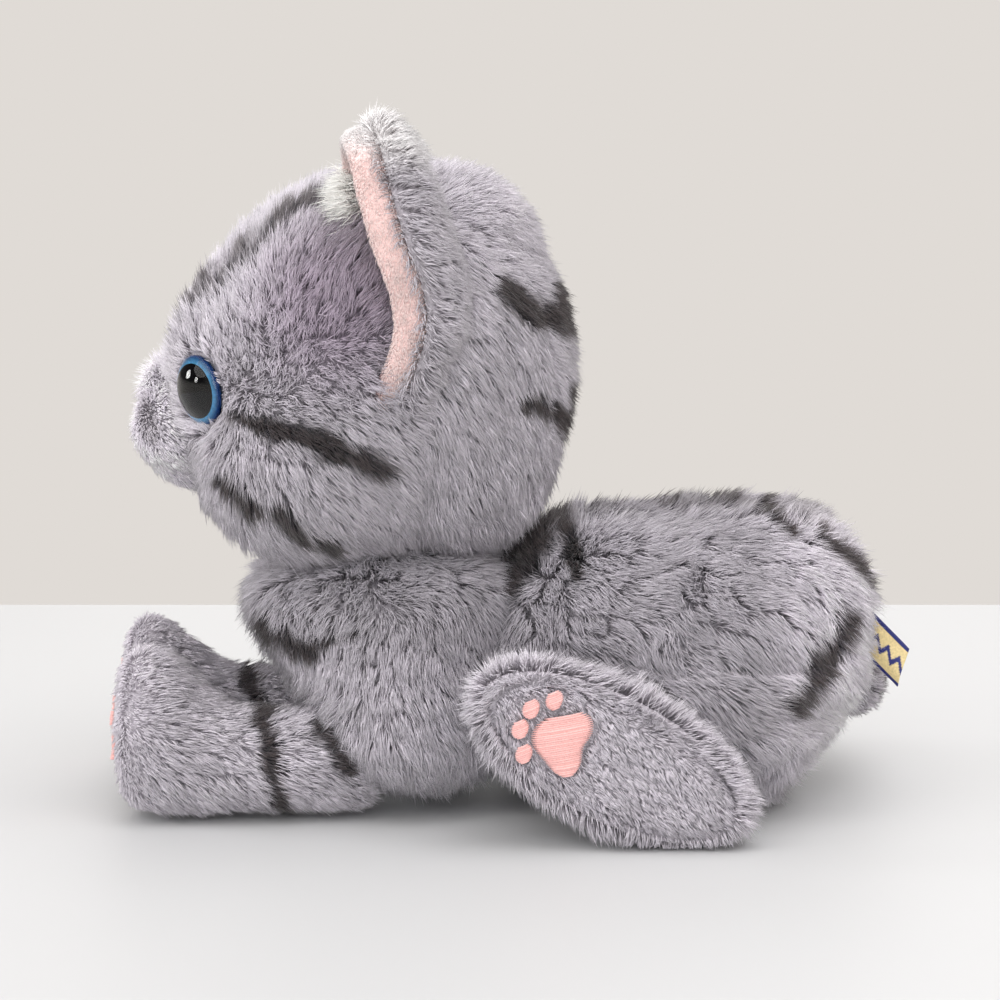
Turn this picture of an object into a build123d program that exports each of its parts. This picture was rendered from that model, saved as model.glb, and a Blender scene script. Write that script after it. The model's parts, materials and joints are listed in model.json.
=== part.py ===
from build123d import *
import math
import os

# A plush tabby kitten lying on its haunches with its chest up. Millimetres, +Z up. The cat faces -Y and its
# left side is +X. The origin is on the floor under the middle of the whole toy.
# Every fur panel is as thick as its backing cloth and pressed pile together.

PILE = 4.5               # fur panel
SHORT_PILE = 2.2         # sole, muzzle and ear lining
THREAD = 0.9             # embroidery and stitching
CLEARANCE = 0.5          # between pieces on different bodies
SEAM = 0.3               # gap along the fold between torso and rump

HEAD_CENTRE = (0, -36.5, 108.5)
HEAD_RADII = (59, 51, 48.5)
EAR_SEAM_Y = -24         # plane of the seam that the ears are sewn into
CROWN_HALF_WIDTH = 28    # of the strip over the head
MUZZLE_CENTRE = (0, -79, 89)
MUZZLE_RADII = (24, 17, 15)

NECK_PIVOT = (0, -33.5, 58)
NECK_RADIUS = 20         # ball of the neck that the head turns on
NECK_RING_RADIUS = 22    # ladder stitch round the neck

EYE_PLACE = (35.5, -73, 103.5)
EYE_TURN = 51            # degrees from sideways towards the nose
EYE_RADIUS = 8.3
EYE_DOME = 3.6           # height of the clear dome
EYE_RIM = 1.0            # straight rim under the dome
PUPIL_RADIUS = 5.9
SHANK_RADIUS = 1.6
SHANK_LENGTH = 14
WASHER_RADIUS = 6.5
EYE_FIT = 0.05           # room round the eye and its shank in the cloth

EAR_CENTRE = (42, -31, 132)
EAR_RADII = (24, 9, 37)
EAR_TILT = 24            # degrees that the ear leans outwards
EAR_BACK = 3.6
EAR_RIM = 1.6            # lining proud of the back's edge
EAR_GAP = 2.2            # room at the ear's root for its bending
TUFT_CENTRE = (36, -40.6, 155)
TUFT_RADII = (6.5, 3.8, 8.5)
TUFT_GAP = 8             # over the head, for the ear's forward bend

TORSO = [                # height, centre y, half width, half depth
    (7, -22, 28, 20),
    (20, -26, 36, 27),
    (36, -31, 40, 33),
    (48, -33.5, 40, 36),
    (57, -33.5, 31, 28),
]
RUMP = [                 # y, centre height, half width, half height
    (-12, 31, 30, 22),
    (3, 34, 35, 29),
    (16, 35, 42, 35),
    (34, 36, 45, 38.5),
    (56, 36.5, 44, 38),
    (73, 37, 37, 31),
    (82.5, 40, 25, 20),
    (87, 43, 11, 8),
]
SPINE_HALF_WIDTH = 11
BELLY_TOP = 6
PELLET_BAG_CENTRE = (0, 42, 16)
PELLET_BAG_RADII = (25, 27, 9)

FRONT_LEG_X = 27
FRONT_LEG_PIVOT = (FRONT_LEG_X, -47, 17)
FRONT_LEG = [            # y, centre height, half width, half height
    (-32.5, 17, 5.5, 5.5),
    (-36, 17, 10.9, 10.9),
    (-41, 17, 14.3, 14.3),
    (-47, 17, 15.5, 15.5),
    (-62, 16.8, 15.5, 16),
    (-76, 20, 17, 20.1),
    (-88, 22, 18, 22.3),
    (-96.5, 22.5, 15.5, 18.5),
]
FRONT_LEG_END = 15.5     # radius of its rounded end in the torso
LEG_ROOM_SLOPE = 41      # degrees: the torso's cut-out clears the paw's thick end at full lift
FRONT_SOLE_RADII = (12.5, 15)
FRONT_PAD_HEIGHT = 19.5
TOE_FAN = (-54, -19, 19, 54)     # degrees round the main pad

FOOT_CENTRE = (20, 21.2)         # y and height
FOOT_TILT = 28                   # toes up
FOOT_INNER_X = 46
FOOT = [                 # x, half length, half width
    (FOOT_INNER_X, 28, 10.5),
    (52, 33.5, 14.5),
    (60, 35, 15.5),
    (66.3, 31, 13),
]
SOLE_HALF_LENGTH = 29
SOLE_HALF_WIDTH = 11.3
FOOT_PAD_OFFSET = 12             # of the main pad from the sole's middle, towards the toes
PAD_RADII = (8.2, 6.8)
TOE_RADIUS = 3
TOE_REACH = 11.4                 # from the main pad's centre to each toe's

TAIL_RADIUS = 8
TAIL_PATH = [
    (-4, 82, 29),
    (-24, 84, 28),
    (-47, 76, 31),
    (-57.5, 52, 42),
    (-55.5, 29, 54),
]
TAIL_BENDS = [15, 20, 30]
TAIL_NOTCH = ((-36, 82, 19), (5, 200, 38.6))     # open space behind the tail's root, for its swing

LABEL_SIZE = (0.8, 9.5, 13)      # thickness of the folded ribbon, proud of the seam, along it
LABEL_ROOT = (10, 88.8, 42)
LABEL_TURN = -22                 # degrees that it stands off the cat's long axis, to its left
LABEL_DROOP = -16                # degrees that its free edge hangs

FROM_BASE = (Align.CENTER, Align.CENTER, Align.MIN)
FAR = 200
made = {}


def ellipsoid(centre, radii):
    mean = sum(radii) / 3
    ball = scale(Sphere(mean), by=tuple(radius / mean for radius in radii))
    return Pos(*centre) * ball


def bag(stations, face, inset=0.0):
    """A closed loft through ellipses. inset shrinks it all round, and a negative inset grows it."""
    sections = []
    last = len(stations) - 1
    for index, station in enumerate(stations):
        along, middle, half_across, half_up = station
        if index == 0:
            along += inset * math.copysign(1, stations[1][0] - along)
        if index == last:
            along -= inset * math.copysign(1, along - stations[last - 1][0])
        plane = face(along, middle)
        sections.append(plane * Ellipse(half_across - inset, half_up - inset))
    return loft(sections)


def level(height, centre_y):
    """Plane of a horizontal section."""
    return Plane(origin=(0, centre_y, height), x_dir=(1, 0, 0), z_dir=(0, 0, 1))


def upright(y, centre_height, x=0.0):
    """Plane of a section across the cat."""
    return Plane(origin=(x, y, centre_height), x_dir=(1, 0, 0), z_dir=(0, -1, 0))


def slab(low, high):
    """Box between two corners."""
    size = [b - a for a, b in zip(low, high)]
    middle = [(a + b) / 2 for a, b in zip(low, high)]
    return Pos(*middle) * Box(*size)


def keep(name, solid):
    made[name] = solid


def keep_pair(name, solid):
    """The left piece and its mirror image on the right."""
    made["left_" + name] = solid
    made["right_" + name] = mirror(solid, about=Plane.YZ)


above_floor = slab((-FAR, -FAR, 0), (FAR, FAR, 2 * FAR))


def head():
    outer = ellipsoid(HEAD_CENTRE, HEAD_RADII)
    inner = ellipsoid(HEAD_CENTRE, tuple(radius - PILE for radius in HEAD_RADII))
    muzzle = ellipsoid(MUZZLE_CENTRE, MUZZLE_RADII)
    muzzle_fill = ellipsoid(MUZZLE_CENTRE, tuple(radius - SHORT_PILE for radius in MUZZLE_RADII))
    socket = Pos(*NECK_PIVOT) * Sphere(NECK_RADIUS + CLEARANCE)
    ring_room = Pos(*NECK_PIVOT) * Sphere(NECK_RING_RADIUS + THREAD + CLEARANCE)
    bed_tool = Cylinder(EYE_RADIUS + EYE_FIT, 2 * EYE_DOME + 12, align=FROM_BASE)
    left_eye_bed = eye_frame() * (Pos(0, 0, -EYE_RIM) * bed_tool + shank_solid(EYE_FIT))
    eye_beds = left_eye_bed + mirror(left_eye_bed, about=Plane.YZ)
    shell = outer - inner - muzzle - ring_room - eye_beds
    crown = slab((-CROWN_HALF_WIDTH, -FAR, MUZZLE_CENTRE[2]), (CROWN_HALF_WIDTH, FAR, FAR))
    front = slab((-FAR, -FAR, 0), (FAR, EAR_SEAM_Y, FAR))
    left = slab((0, -FAR, 0), (FAR, FAR, FAR))
    keep("forehead_panel", shell & crown)
    sides = shell - crown
    keep_pair("cheek_panel", sides & front & left)
    keep_pair("head_back_panel", (sides - front) & left)
    keep("muzzle_panel", muzzle - muzzle_fill - inner - eye_beds)
    stuffing = inner + muzzle_fill - socket - ring_room - eye_beds
    left_washer = washer_solid()
    keep("head_stuffing", stuffing - left_washer - mirror(left_washer, about=Plane.YZ))


def eye_frame():
    """Local Z points out of the left eye."""
    turn = math.radians(EYE_TURN)
    outward = (math.cos(turn), -math.sin(turn), 0.06)
    return Location(Plane(origin=EYE_PLACE, x_dir=(math.sin(turn), math.cos(turn), 0), z_dir=outward))


def shank_solid(extra=0.0):
    """Black pupil disc on its shank, which goes back into the head."""
    stem = Pos(0, 0, -SHANK_LENGTH) * Cylinder(SHANK_RADIUS + extra, SHANK_LENGTH + 1.4, align=FROM_BASE)
    disc = Pos(0, 0, 0.4) * Cylinder(PUPIL_RADIUS, 1.0, align=FROM_BASE)
    return stem + disc


def washer_solid():
    disc = Pos(0, 0, -6) * Cylinder(WASHER_RADIUS, 1.4)
    return eye_frame() * disc


def eyes():
    place = eye_frame()
    ball_radius = (EYE_RADIUS ** 2 + EYE_DOME ** 2) / (2 * EYE_DOME)
    cap = Pos(0, 0, EYE_DOME - ball_radius) * Sphere(ball_radius)
    dome = Pos(0, 0, 0.4) * (cap & Cylinder(EYE_RADIUS, EYE_DOME, align=FROM_BASE))
    dome += Cylinder(EYE_RADIUS, 0.4, align=FROM_BASE)
    shank = shank_solid()
    iris = Pos(0, 0, -EYE_RIM) * Cylinder(EYE_RADIUS, EYE_RIM, align=FROM_BASE)
    keep_pair("eye_lens", place * (dome - shank))
    keep_pair("eye_iris", place * (iris - shank))
    keep_pair("eye_shank", place * shank)
    keep_pair("eye_washer", washer_solid() - place * shank)


def nose_and_mouth():
    tip_y = MUZZLE_CENTRE[1] - MUZZLE_RADII[1]
    skin = ellipsoid(MUZZLE_CENTRE, MUZZLE_RADII)
    proud = ellipsoid(MUZZLE_CENTRE, tuple(radius + THREAD for radius in MUZZLE_RADII))
    thread = proud - skin
    nose_tool = Pos(0, tip_y, MUZZLE_CENTRE[2] + 6.2) * Rot(90, 0, 0) * Cylinder(4.3, 14)
    keep("nose", thread & nose_tool)
    mouth_tool = slab((-0.7, tip_y - 5, MUZZLE_CENTRE[2] - 6), (0.7, tip_y + 8, MUZZLE_CENTRE[2] + 1.7))
    keep("mouth_stitching", thread & mouth_tool)


def ears():
    tilt = Pos(*EAR_CENTRE) * Rot(0, EAR_TILT, 0)
    inner_radii = (EAR_RADII[0] - EAR_BACK, EAR_RADII[1] - 1.0, EAR_RADII[2] - EAR_BACK)
    hollow_radii = (EAR_RADII[0] - 2 * EAR_BACK, EAR_RADII[1] - 2.0, EAR_RADII[2] - 2 * EAR_BACK)
    back = ellipsoid((0, 0, 0), EAR_RADII)
    lined = ellipsoid((0, -EAR_BACK, 0), inner_radii)
    hollow = ellipsoid((0, -EAR_BACK - 3, 0), hollow_radii)
    head_room = ellipsoid(HEAD_CENTRE, tuple(radius + EAR_GAP for radius in HEAD_RADII))
    tuft_room = ellipsoid(HEAD_CENTRE, tuple(radius + TUFT_GAP for radius in HEAD_RADII))
    open_front = slab((-FAR, -FAR, -FAR), (FAR, -EAR_BACK, FAR))
    upper = slab((-FAR, -FAR, -14), (FAR, FAR, FAR))
    lining_front = slab((-FAR, -FAR, -FAR), (FAR, -EAR_BACK - EAR_RIM, FAR))
    keep_pair("ear_back", tilt * ((back - lined - open_front) & upper) - head_room)
    keep_pair("ear_lining", tilt * ((lined - hollow - lining_front) & upper) - head_room)
    tuft = Pos(*TUFT_CENTRE) * Rot(0, EAR_TILT, 0) * ellipsoid((0, 0, 0), TUFT_RADII)
    keep_pair("ear_tuft", tuft - tuft_room)


def neck():
    ring = Pos(*NECK_PIVOT) * Torus(NECK_RING_RADIUS, THREAD)
    keep("neck_stitching", ring)


def front_leg_face(y, centre_height):
    return upright(y, centre_height, FRONT_LEG_X)


def front_leg_room():
    """What the torso leaves for both front legs over their whole lift: a round seat and a wedge above it."""
    reach = FRONT_LEG_END + 2 * CLEARANCE
    width = 2 * (FRONT_LEG[-2][2] + CLEARANCE)
    x, y, z = FRONT_LEG_PIVOT
    slope = math.radians(LEG_ROOM_SLOPE)
    top = (y + reach * math.sin(slope), z + reach * math.cos(slope))
    far_y = -80
    side = [(y, -5), top, (far_y, top[1] + (top[0] - far_y) * math.tan(slope)), (far_y, -5)]
    across = Plane(origin=(x - width / 2, 0, 0), x_dir=(0, 1, 0), z_dir=(1, 0, 0))
    wedge = extrude(across * make_face(Polyline(*side, close=True)), width)
    seat = Pos(x, y, z) * Rot(0, 90, 0) * Cylinder(reach, width)
    room = wedge + seat
    return room + mirror(room, about=Plane.YZ)


def tail_route():
    return FilletPolyline(*TAIL_PATH, radius=TAIL_BENDS)


def tail_solid(radius, grown=0.0):
    route = tail_route()
    body = sweep((route ^ 0) * Circle(radius + grown), path=route)
    tip = Pos(*TAIL_PATH[-1]) * Sphere(radius + grown)
    root = Pos(*TAIL_PATH[0]) * Sphere(radius + grown)
    return body + tip + root


def trunk():
    torso_outer = bag(TORSO, level)
    torso_inner = bag(TORSO, level, PILE)
    neck_ball = Pos(*NECK_PIVOT) * Sphere(NECK_RADIUS)
    ring_room = Pos(*NECK_PIVOT) * Torus(NECK_RING_RADIUS, THREAD + CLEARANCE)
    legs = front_leg_room()
    torso_shell = torso_outer - torso_inner - neck_ball - ring_room - legs
    chest = slab((-13, -FAR, 12), (13, -40, FAR))
    left = slab((0, -FAR, 0), (FAR, FAR, FAR))
    keep("chest_panel", torso_shell & chest)
    keep_pair("torso_panel", (torso_shell - chest) & left)
    keep("torso_stuffing", (torso_inner + neck_ball) - legs - ring_room)

    rump_outer = bag(RUMP, upright) & above_floor
    rump_inner = bag(RUMP, upright, PILE) & slab((-FAR, -FAR, PILE), (FAR, FAR, FAR))
    bag_solid = ellipsoid(PELLET_BAG_CENTRE, PELLET_BAG_RADII)
    tail_room = tail_solid(TAIL_RADIUS, CLEARANCE) + slab(*TAIL_NOTCH)
    torso_side = bag(TORSO, level, -SEAM)
    shell = rump_outer - rump_inner - torso_side - tail_room
    spine = slab((-SPINE_HALF_WIDTH, -FAR, 50), (SPINE_HALF_WIDTH, FAR, FAR))
    belly = slab((-FAR, -FAR, -1), (FAR, FAR, BELLY_TOP))
    sides = shell - spine - belly
    keep("back_panel", shell & spine)
    keep("belly_panel", shell & belly)
    keep("left_haunch_panel", sides & left)
    keep("right_haunch_panel", sides - left)
    keep("rump_stuffing", rump_inner - torso_side - bag_solid - tail_room)
    keep("pellet_bag", bag_solid)


def pads(radii, thickness):
    """Main pad and four toes, drawn in a plane with +Y towards the toes."""
    main = extrude(Ellipse(radii[1], radii[0]), thickness)
    toes = []
    for angle in TOE_FAN:
        turn = math.radians(angle)
        place = Pos(TOE_REACH * math.sin(turn), TOE_REACH * math.cos(turn), 0)
        toes.append(place * extrude(Circle(TOE_RADIUS), thickness))
    return main, toes


def front_legs():
    inner = bag(FRONT_LEG[2:], front_leg_face, PILE)
    sole_y, sole_z = FRONT_LEG[-1][0], FRONT_LEG[-1][1]
    face = Plane(origin=(FRONT_LEG_X, sole_y + SHORT_PILE, sole_z), x_dir=(1, 0, 0), z_dir=(0, -1, 0))
    sole = face * extrude(Ellipse(*FRONT_SOLE_RADII), 2 * SHORT_PILE - 0.6)
    keep_pair("front_sole", sole)
    keep_pair("front_leg_cover", (bag(FRONT_LEG, front_leg_face) & above_floor) - inner - sole)
    keep_pair("front_leg_stuffing", inner - sole)
    pad_y = sole_y - SHORT_PILE + 0.6
    pad_face = Plane(origin=(FRONT_LEG_X, pad_y, FRONT_PAD_HEIGHT), x_dir=(1, 0, 0), z_dir=(0, -1, 0))
    main, toes = pads((5.4, 6.6), THREAD / 2)
    keep_pair("front_pad", pad_face * main)
    shrink = 0.8
    keep_pair("front_toe_pads", Compound(children=[pad_face * scale(toe, by=(shrink, shrink, 1))
                                                   for toe in toes]))


def foot_face(x):
    """Plane across the left hind foot at x. Local +X runs along the foot towards the toes."""
    tilt = math.radians(FOOT_TILT)
    return Plane(origin=(x, *FOOT_CENTRE), x_dir=(0, -math.cos(tilt), math.sin(tilt)), z_dir=(1, 0, 0))


def hind_feet():
    def foot(inset):
        first, last = 0, len(FOOT) - 1
        sections = []
        for index, (x, half_length, half_width) in enumerate(FOOT):
            shift = inset if index == first else -inset if index == last else 0
            sections.append(foot_face(x + shift) * Ellipse(half_length - inset, half_width - inset))
        return loft(sections)

    outer = foot(0.0) & above_floor
    inner = foot(PILE)
    sole_x = FOOT[-1][0]
    sole = foot_face(sole_x - SHORT_PILE) * extrude(Ellipse(SOLE_HALF_LENGTH, SOLE_HALF_WIDTH),
                                                    2 * SHORT_PILE - 0.6)
    keep_pair("hind_sole", sole)
    keep_pair("hind_foot_cover", outer - inner - sole)
    keep_pair("hind_foot_stuffing", inner - sole)
    pad_plane = foot_face(sole_x + SHORT_PILE - 0.6) * Pos(FOOT_PAD_OFFSET, 0, 0) * Rot(0, 0, -90)
    main, toes = pads((PAD_RADII[1], PAD_RADII[0]), THREAD / 2)
    keep_pair("hind_pad", pad_plane * main)
    keep_pair("hind_toe_pads", Compound(children=[pad_plane * toe for toe in toes]))


def tail():
    outer = tail_solid(TAIL_RADIUS)
    inner = tail_solid(TAIL_RADIUS - PILE)
    keep("tail_cover", outer - inner)
    keep("tail_stuffing", inner)


def label():
    ribbon = Pos(0, LABEL_SIZE[1] / 2, 0) * Box(*LABEL_SIZE)
    keep("label", Pos(*LABEL_ROOT) * Rot(0, 0, LABEL_TURN) * Rot(LABEL_DROOP, 0, 0) * ribbon)


def main():
    os.makedirs("parts", exist_ok=True)
    head()
    eyes()
    nose_and_mouth()
    ears()
    neck()
    trunk()
    front_legs()
    hind_feet()
    tail()
    label()
    for name, solid in made.items():
        export_step(solid, f"parts/{name}.step")
    box = Compound(children=[solid.moved(Location()) for solid in made.values()]).bounding_box()
    print("whole toy, low and high corners in mm:", box.min, box.max)


main()
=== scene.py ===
"""A plush tabby kitten lying on its haunches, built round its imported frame.

Lengths are in millimetres until an object is made, which writes them in metres. The cat faces -Y and its left
side is +X. Every fur panel is a cloth skin with its own strands of pile, which are combed, clumped and coloured
by where they are rooted.
"""

import json
import math
import bmesh
import bpy
import numpy as np
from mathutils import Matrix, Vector
from mathutils.bvhtree import BVHTree


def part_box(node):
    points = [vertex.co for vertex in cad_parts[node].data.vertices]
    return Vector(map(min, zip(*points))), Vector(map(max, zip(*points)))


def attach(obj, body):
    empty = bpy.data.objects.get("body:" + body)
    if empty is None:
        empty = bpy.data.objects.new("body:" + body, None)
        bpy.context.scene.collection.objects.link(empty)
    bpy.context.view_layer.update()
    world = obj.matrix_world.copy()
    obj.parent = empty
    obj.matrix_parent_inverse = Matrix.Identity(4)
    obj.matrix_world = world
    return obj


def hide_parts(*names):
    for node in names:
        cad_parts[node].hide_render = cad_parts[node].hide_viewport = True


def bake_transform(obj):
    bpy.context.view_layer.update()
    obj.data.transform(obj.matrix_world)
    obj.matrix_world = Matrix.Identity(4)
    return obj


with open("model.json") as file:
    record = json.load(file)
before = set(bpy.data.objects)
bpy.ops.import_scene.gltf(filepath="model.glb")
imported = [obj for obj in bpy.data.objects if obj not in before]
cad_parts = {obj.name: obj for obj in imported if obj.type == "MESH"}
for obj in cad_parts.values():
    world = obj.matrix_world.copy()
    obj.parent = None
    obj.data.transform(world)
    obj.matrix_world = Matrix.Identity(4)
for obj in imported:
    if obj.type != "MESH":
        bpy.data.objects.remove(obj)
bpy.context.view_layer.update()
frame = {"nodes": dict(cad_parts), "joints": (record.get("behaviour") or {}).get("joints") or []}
rng = np.random.default_rng(20)
MM = 0.001
LEFT, RIGHT = 1, -1
SIDES = {LEFT: "left", RIGHT: "right"}

# ---- driving values

QUICK_SHARE = 1.0
FUR_DENSITY = 5.4 * QUICK_SHARE          # strands on a square millimetre of long pile
STRAND_RADIUS = 0.128 / math.sqrt(QUICK_SHARE)
STRANDS_IN_A_PIECE = 33000
SKIN_INSET = 3.4             # how far the cloth lies under the outline of the CAD panels
FLOOR_GAP = 0.5
BURIED = 2.5                 # cloth this deep in another part grows no pile
CLOTH = 0.9                  # thickness of the backing cloth


def box_mm(*nodes):
    """Centre and half sizes of the CAD nodes' common box."""
    corners = np.array([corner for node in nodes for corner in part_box(node)]) / MM
    low, high = corners.min(axis=0), corners.max(axis=0)
    return (low + high) / 2, (high - low) / 2


def joint(name):
    return next(item for item in frame["joints"] if item["name"] == name)


def joint_place(name):
    return np.array(joint(name)["pos_m"], float) / MM


HEAD_CENTRE = np.array((0.0, -36.5, 108.5))
HEAD_RADII = np.array((59.0, 51.0, 48.5))
MUZZLE_CENTRE = np.array((0.0, -79.0, 93.0))
NOSE_HEIGHT = 95.5
NECK = joint_place("neck_turn")
NECK_SOCKET = 21.5
NECK_THREAD_RADIUS = 20.6
NECK_STITCHES = 52
EYE_CENTRE = box_mm("left_eye_iris")[0] + (-1.3, -3.0, 0.3)
EYE_TURN = math.radians(51)
EYE_OUT = np.array((math.cos(EYE_TURN), -math.sin(EYE_TURN), -0.16))
EYE_OUT /= np.linalg.norm(EYE_OUT)
EYE_RADIUS = 8.3
EYE_DOME = 3.9
PUPIL_RADIUS = 5.9
SHANK_RADIUS = 1.6
SHANK_LENGTH = 13
EAR_CENTRE = np.array((42.5, -34.5, 132.0))
EAR_RADII = (22.5, 31.5)     # across and up
EAR_TILT = math.radians(12)  # outwards
EAR_LEAN = math.radians(9)   # forwards
EAR_TURN = math.radians(10)  # of its open side, from straight ahead to sideways
EAR_CURL = np.array([        # height, and how far back the ear is bent there
    (-35, -4.5), (-26, -3.0), (-20, -0.8), (-12.5, 2.8), (-1.5, 4.2), (8, 2.6), (23, 1.7), (35, 1.7),
])
EAR_LINING = [               # share of the radius and depth behind the rim, from its middle round the rolled edge
    (0, 8.0), (0.3, 7.4), (0.55, 5.6), (0.72, 3.2), (0.82, 0.6), (0.89, -2.0), (0.945, -3.2), (0.985, -3.0),
    (1.01, -1.6), (1.02, 0.4), (1.01, 2.2), (0.98, 3.4), (0.93, 3.8), (0.85, 4.4), (0.7, 6.2), (0.5, 7.9),
    (0.25, 9.2), (0, 9.6),
]
EAR_BACK = [
    (0, 10.0), (0.25, 9.6), (0.5, 8.3), (0.7, 6.6), (0.85, 4.8), (0.93, 4.2), (0.985, 3.9), (1.02, 3.6),
    (1.045, 4.4), (1.04, 5.8), (1.0, 7.4), (0.9, 9.4), (0.7, 11.2), (0.4, 12.4), (0, 12.8),
]
EAR_SEAM_Y = -24             # the seam from an ear down to the neck
TUFT_HAIRS = 5200
TUFT_LENGTH = 6.5
TORSO = [                    # height, centre y, half width, half depth
    (6, -24.5, 37, 21), (20, -27, 43.5, 25.5), (35, -30, 43, 29.5), (48, -32.5, 41, 34.5), (56, -33, 36, 31.5),
    (60.5, -33.5, 26, 25), (65, -33.5, 19, 19), (72, -33.5, 15.5, 15.5), (78, -33.5, 8, 8),
]
RUMP = [                     # y, centre height, half width, half height
    (-12, 31, 30, 22), (3, 34, 35, 31), (16, 35, 42, 36.5), (34, 35, 45, 37.5), (56, 35.5, 44, 37.5),
    (70, 37, 38, 33.5), (79.5, 39, 29, 25.5), (87, 41, 16, 15),
]
SPINE_HALF_WIDTH = 12
FRONT_LEG_X = 27
FRONT_LEG = [                # y, centre height, half width, half height
    (-32.5, 14, 6.5, 7.5), (-41, 14.4, 10, 11.2), (-55, 14.6, 13, 12.2), (-66, 14.7, 13.8, 12.5),
    (-74, 15.2, 14.5, 13.7), (-80, 17.3, 15.8, 16.3), (-86, 20.6, 17.3, 20), (-92, 21.7, 17, 21.2),
    (-98.5, 21.8, 15.5, 18.8),
]
FRONT_PAD_HEIGHT = 19.5
RIGHT_PAW_AHEAD = 6          # the right front paw lies this much further forward
FOOT_MIDDLE = np.array((0, 20.0, 21.2))  # of each section of the hind foot
FOOT_TILT = math.radians(28)             # toes up
FOOT = [                     # x, half length, half width
    (46, 28, 10.5), (52, 33.5, 14.5), (60, 35, 16), (67.3, 33, 15),
]
SOLE_X = 67.3
SOLE_RADII = (29.5, 11.8)
FOOT_PAD_OFFSET = (12.6, -0.7)           # along and across, from its middle
HIND_TOES = [(-6.6, 6.3), (-2.0, 9.7), (3.2, 9.7), (7.4, 6.0)]     # across and up from the middle of the main pad
FRONT_TOES = [(-6.6, 5.8), (-2.4, 8.8), (2.4, 8.8), (6.6, 5.8)]
HIND_PAD_SIZE = 7.0
HIND_TOE_SIZE = 2.0
TAIL_RADIUS = 8
TAIL_PATH = [(-4, 82, 29), (-24, 84, 28), (-44, 78, 31), (-57, 54, 41), (-55.5, 29, 54)]
LABEL_WIDTH = 10.0
LABEL_DEPTH = 10.0           # how far the fold stands out of the seam
LABEL_SEAM = 3.0             # how far its ends run into the seam
LABEL_THICKNESS = 0.28

# ---- colours


def srgb(red, green, blue):
    """A linear colour from its 0 to 255 screen values."""
    share = np.array((red, green, blue)) / 255
    return np.where(share < 0.04045, share / 12.92, ((share + 0.055) / 1.055) ** 2.4)


FUR_ROOT = srgb(186, 179, 187)
FUR_MIDDLE = srgb(214, 208, 216)
FUR_TIP = srgb(233, 228, 236)
STRIPE_ROOT = srgb(58, 53, 60)
STRIPE_MIDDLE = srgb(60, 55, 60)
STRIPE_TIP = srgb(96, 86, 84)
PINK_ROOT = srgb(250, 222, 218)
PINK_TIP = srgb(253, 236, 233)
WHITE_ROOT = srgb(248, 243, 243)
WHITE_TIP = srgb(254, 252, 252)
TUFT_WHITE = srgb(255, 254, 250)
THREAD_PINK = srgb(238, 182, 177)
THREAD_TAN = srgb(190, 158, 126)
THREAD_BROWN = srgb(84, 58, 46)
THREAD_GREY = srgb(150, 146, 156)
IRIS_INNER = srgb(92, 168, 216)
IRIS_OUTER = srgb(16, 62, 128)
RIBBON_NAVY = srgb(38, 44, 112)
RIBBON_CREAM = srgb(226, 206, 152)
WALL = srgb(224, 219, 214)
DARK_ROOM = srgb(96, 94, 94)
TABLE = srgb(203, 204, 205)

# ---- small maths


def unit(vectors):
    return vectors / np.maximum(np.linalg.norm(vectors, axis=-1, keepdims=True), 1e-9)


def ramp(value, low, high):
    """0 at low, 1 at high, and smooth between."""
    share = np.clip((value - low) / (high - low), 0, 1)
    return share * share * (3 - 2 * share)


def lattice(cells, seed):
    """A number from 0 to 1 that belongs to each whole-number cell."""
    mixed = (cells[..., 0] * 73856093) ^ (cells[..., 1] * 19349663) ^ (cells[..., 2] * 83492791) ^ (seed * 974711)
    mixed = (mixed ^ (mixed >> 13)) * 1274126177
    return ((mixed ^ (mixed >> 16)) & 0xFFFF) / 65535.0


def noise(points, size, seed):
    """Smooth noise from -1 to 1 with lumps of about this size."""
    scaled = points / size
    cells = np.floor(scaled).astype(np.int64)
    part = scaled - cells
    part = part * part * (3 - 2 * part)
    total = np.zeros(len(points))
    for corner in np.ndindex(2, 2, 2):
        weight = np.prod(np.where(corner, part, 1 - part), axis=1)
        total += weight * lattice(cells + np.array(corner), seed)
    return 2 * total - 1


def noise_vectors(points, size, seed):
    return np.stack([noise(points, size, seed + axis) for axis in range(3)], axis=1)


def nearest_lock(points, size, seed):
    """The middle of the lock that each root belongs to, and a number of its own for each lock."""
    cells = np.floor(points / size).astype(np.int64)
    best = np.full(len(points), np.inf)
    middle = np.zeros_like(points)
    own = np.zeros(len(points))
    for step in np.ndindex(3, 3, 3):
        cell = cells + np.array(step) - 1
        jitter = np.stack([lattice(cell, seed + axis) for axis in range(3)], axis=1)
        place = (cell + jitter) * size
        distance = np.sum((place - points) ** 2, axis=1)
        closer = distance < best
        best[closer] = distance[closer]
        middle[closer] = place[closer]
        own[closer] = lattice(cell[closer], seed + 7)
    return middle, own


def spline(known, values, at):
    """A natural cubic curve through the values."""
    count = len(known)
    gap = np.diff(known)
    system, right = np.eye(count), np.zeros(values.shape)
    for i in range(1, count - 1):
        system[i, i - 1:i + 2] = gap[i - 1], 2 * (gap[i - 1] + gap[i]), gap[i]
        right[i] = 6 * ((values[i + 1] - values[i]) / gap[i] - (values[i] - values[i - 1]) / gap[i - 1])
    bend = np.linalg.solve(system, right)
    k = np.clip(np.searchsorted(known, at) - 1, 0, count - 2)
    h, t = gap[k][:, None], (at - known[k])[:, None]
    slope = (values[k + 1] - values[k]) / h - h * (2 * bend[k] + bend[k + 1]) / 6
    return values[k] + t * (slope + t * (bend[k] / 2 + t * (bend[k + 1] - bend[k]) / (6 * h)))


def distance_to_line(points, start, end):
    """Distance to the straight line between two places, and how far along it from 0 to 1."""
    start, end = np.array(start, float), np.array(end, float)
    along = end - start
    share = np.clip((points - start) @ along / (along @ along), 0, 1)
    return np.linalg.norm(points - start - share[:, None] * along, axis=1), share


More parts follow.
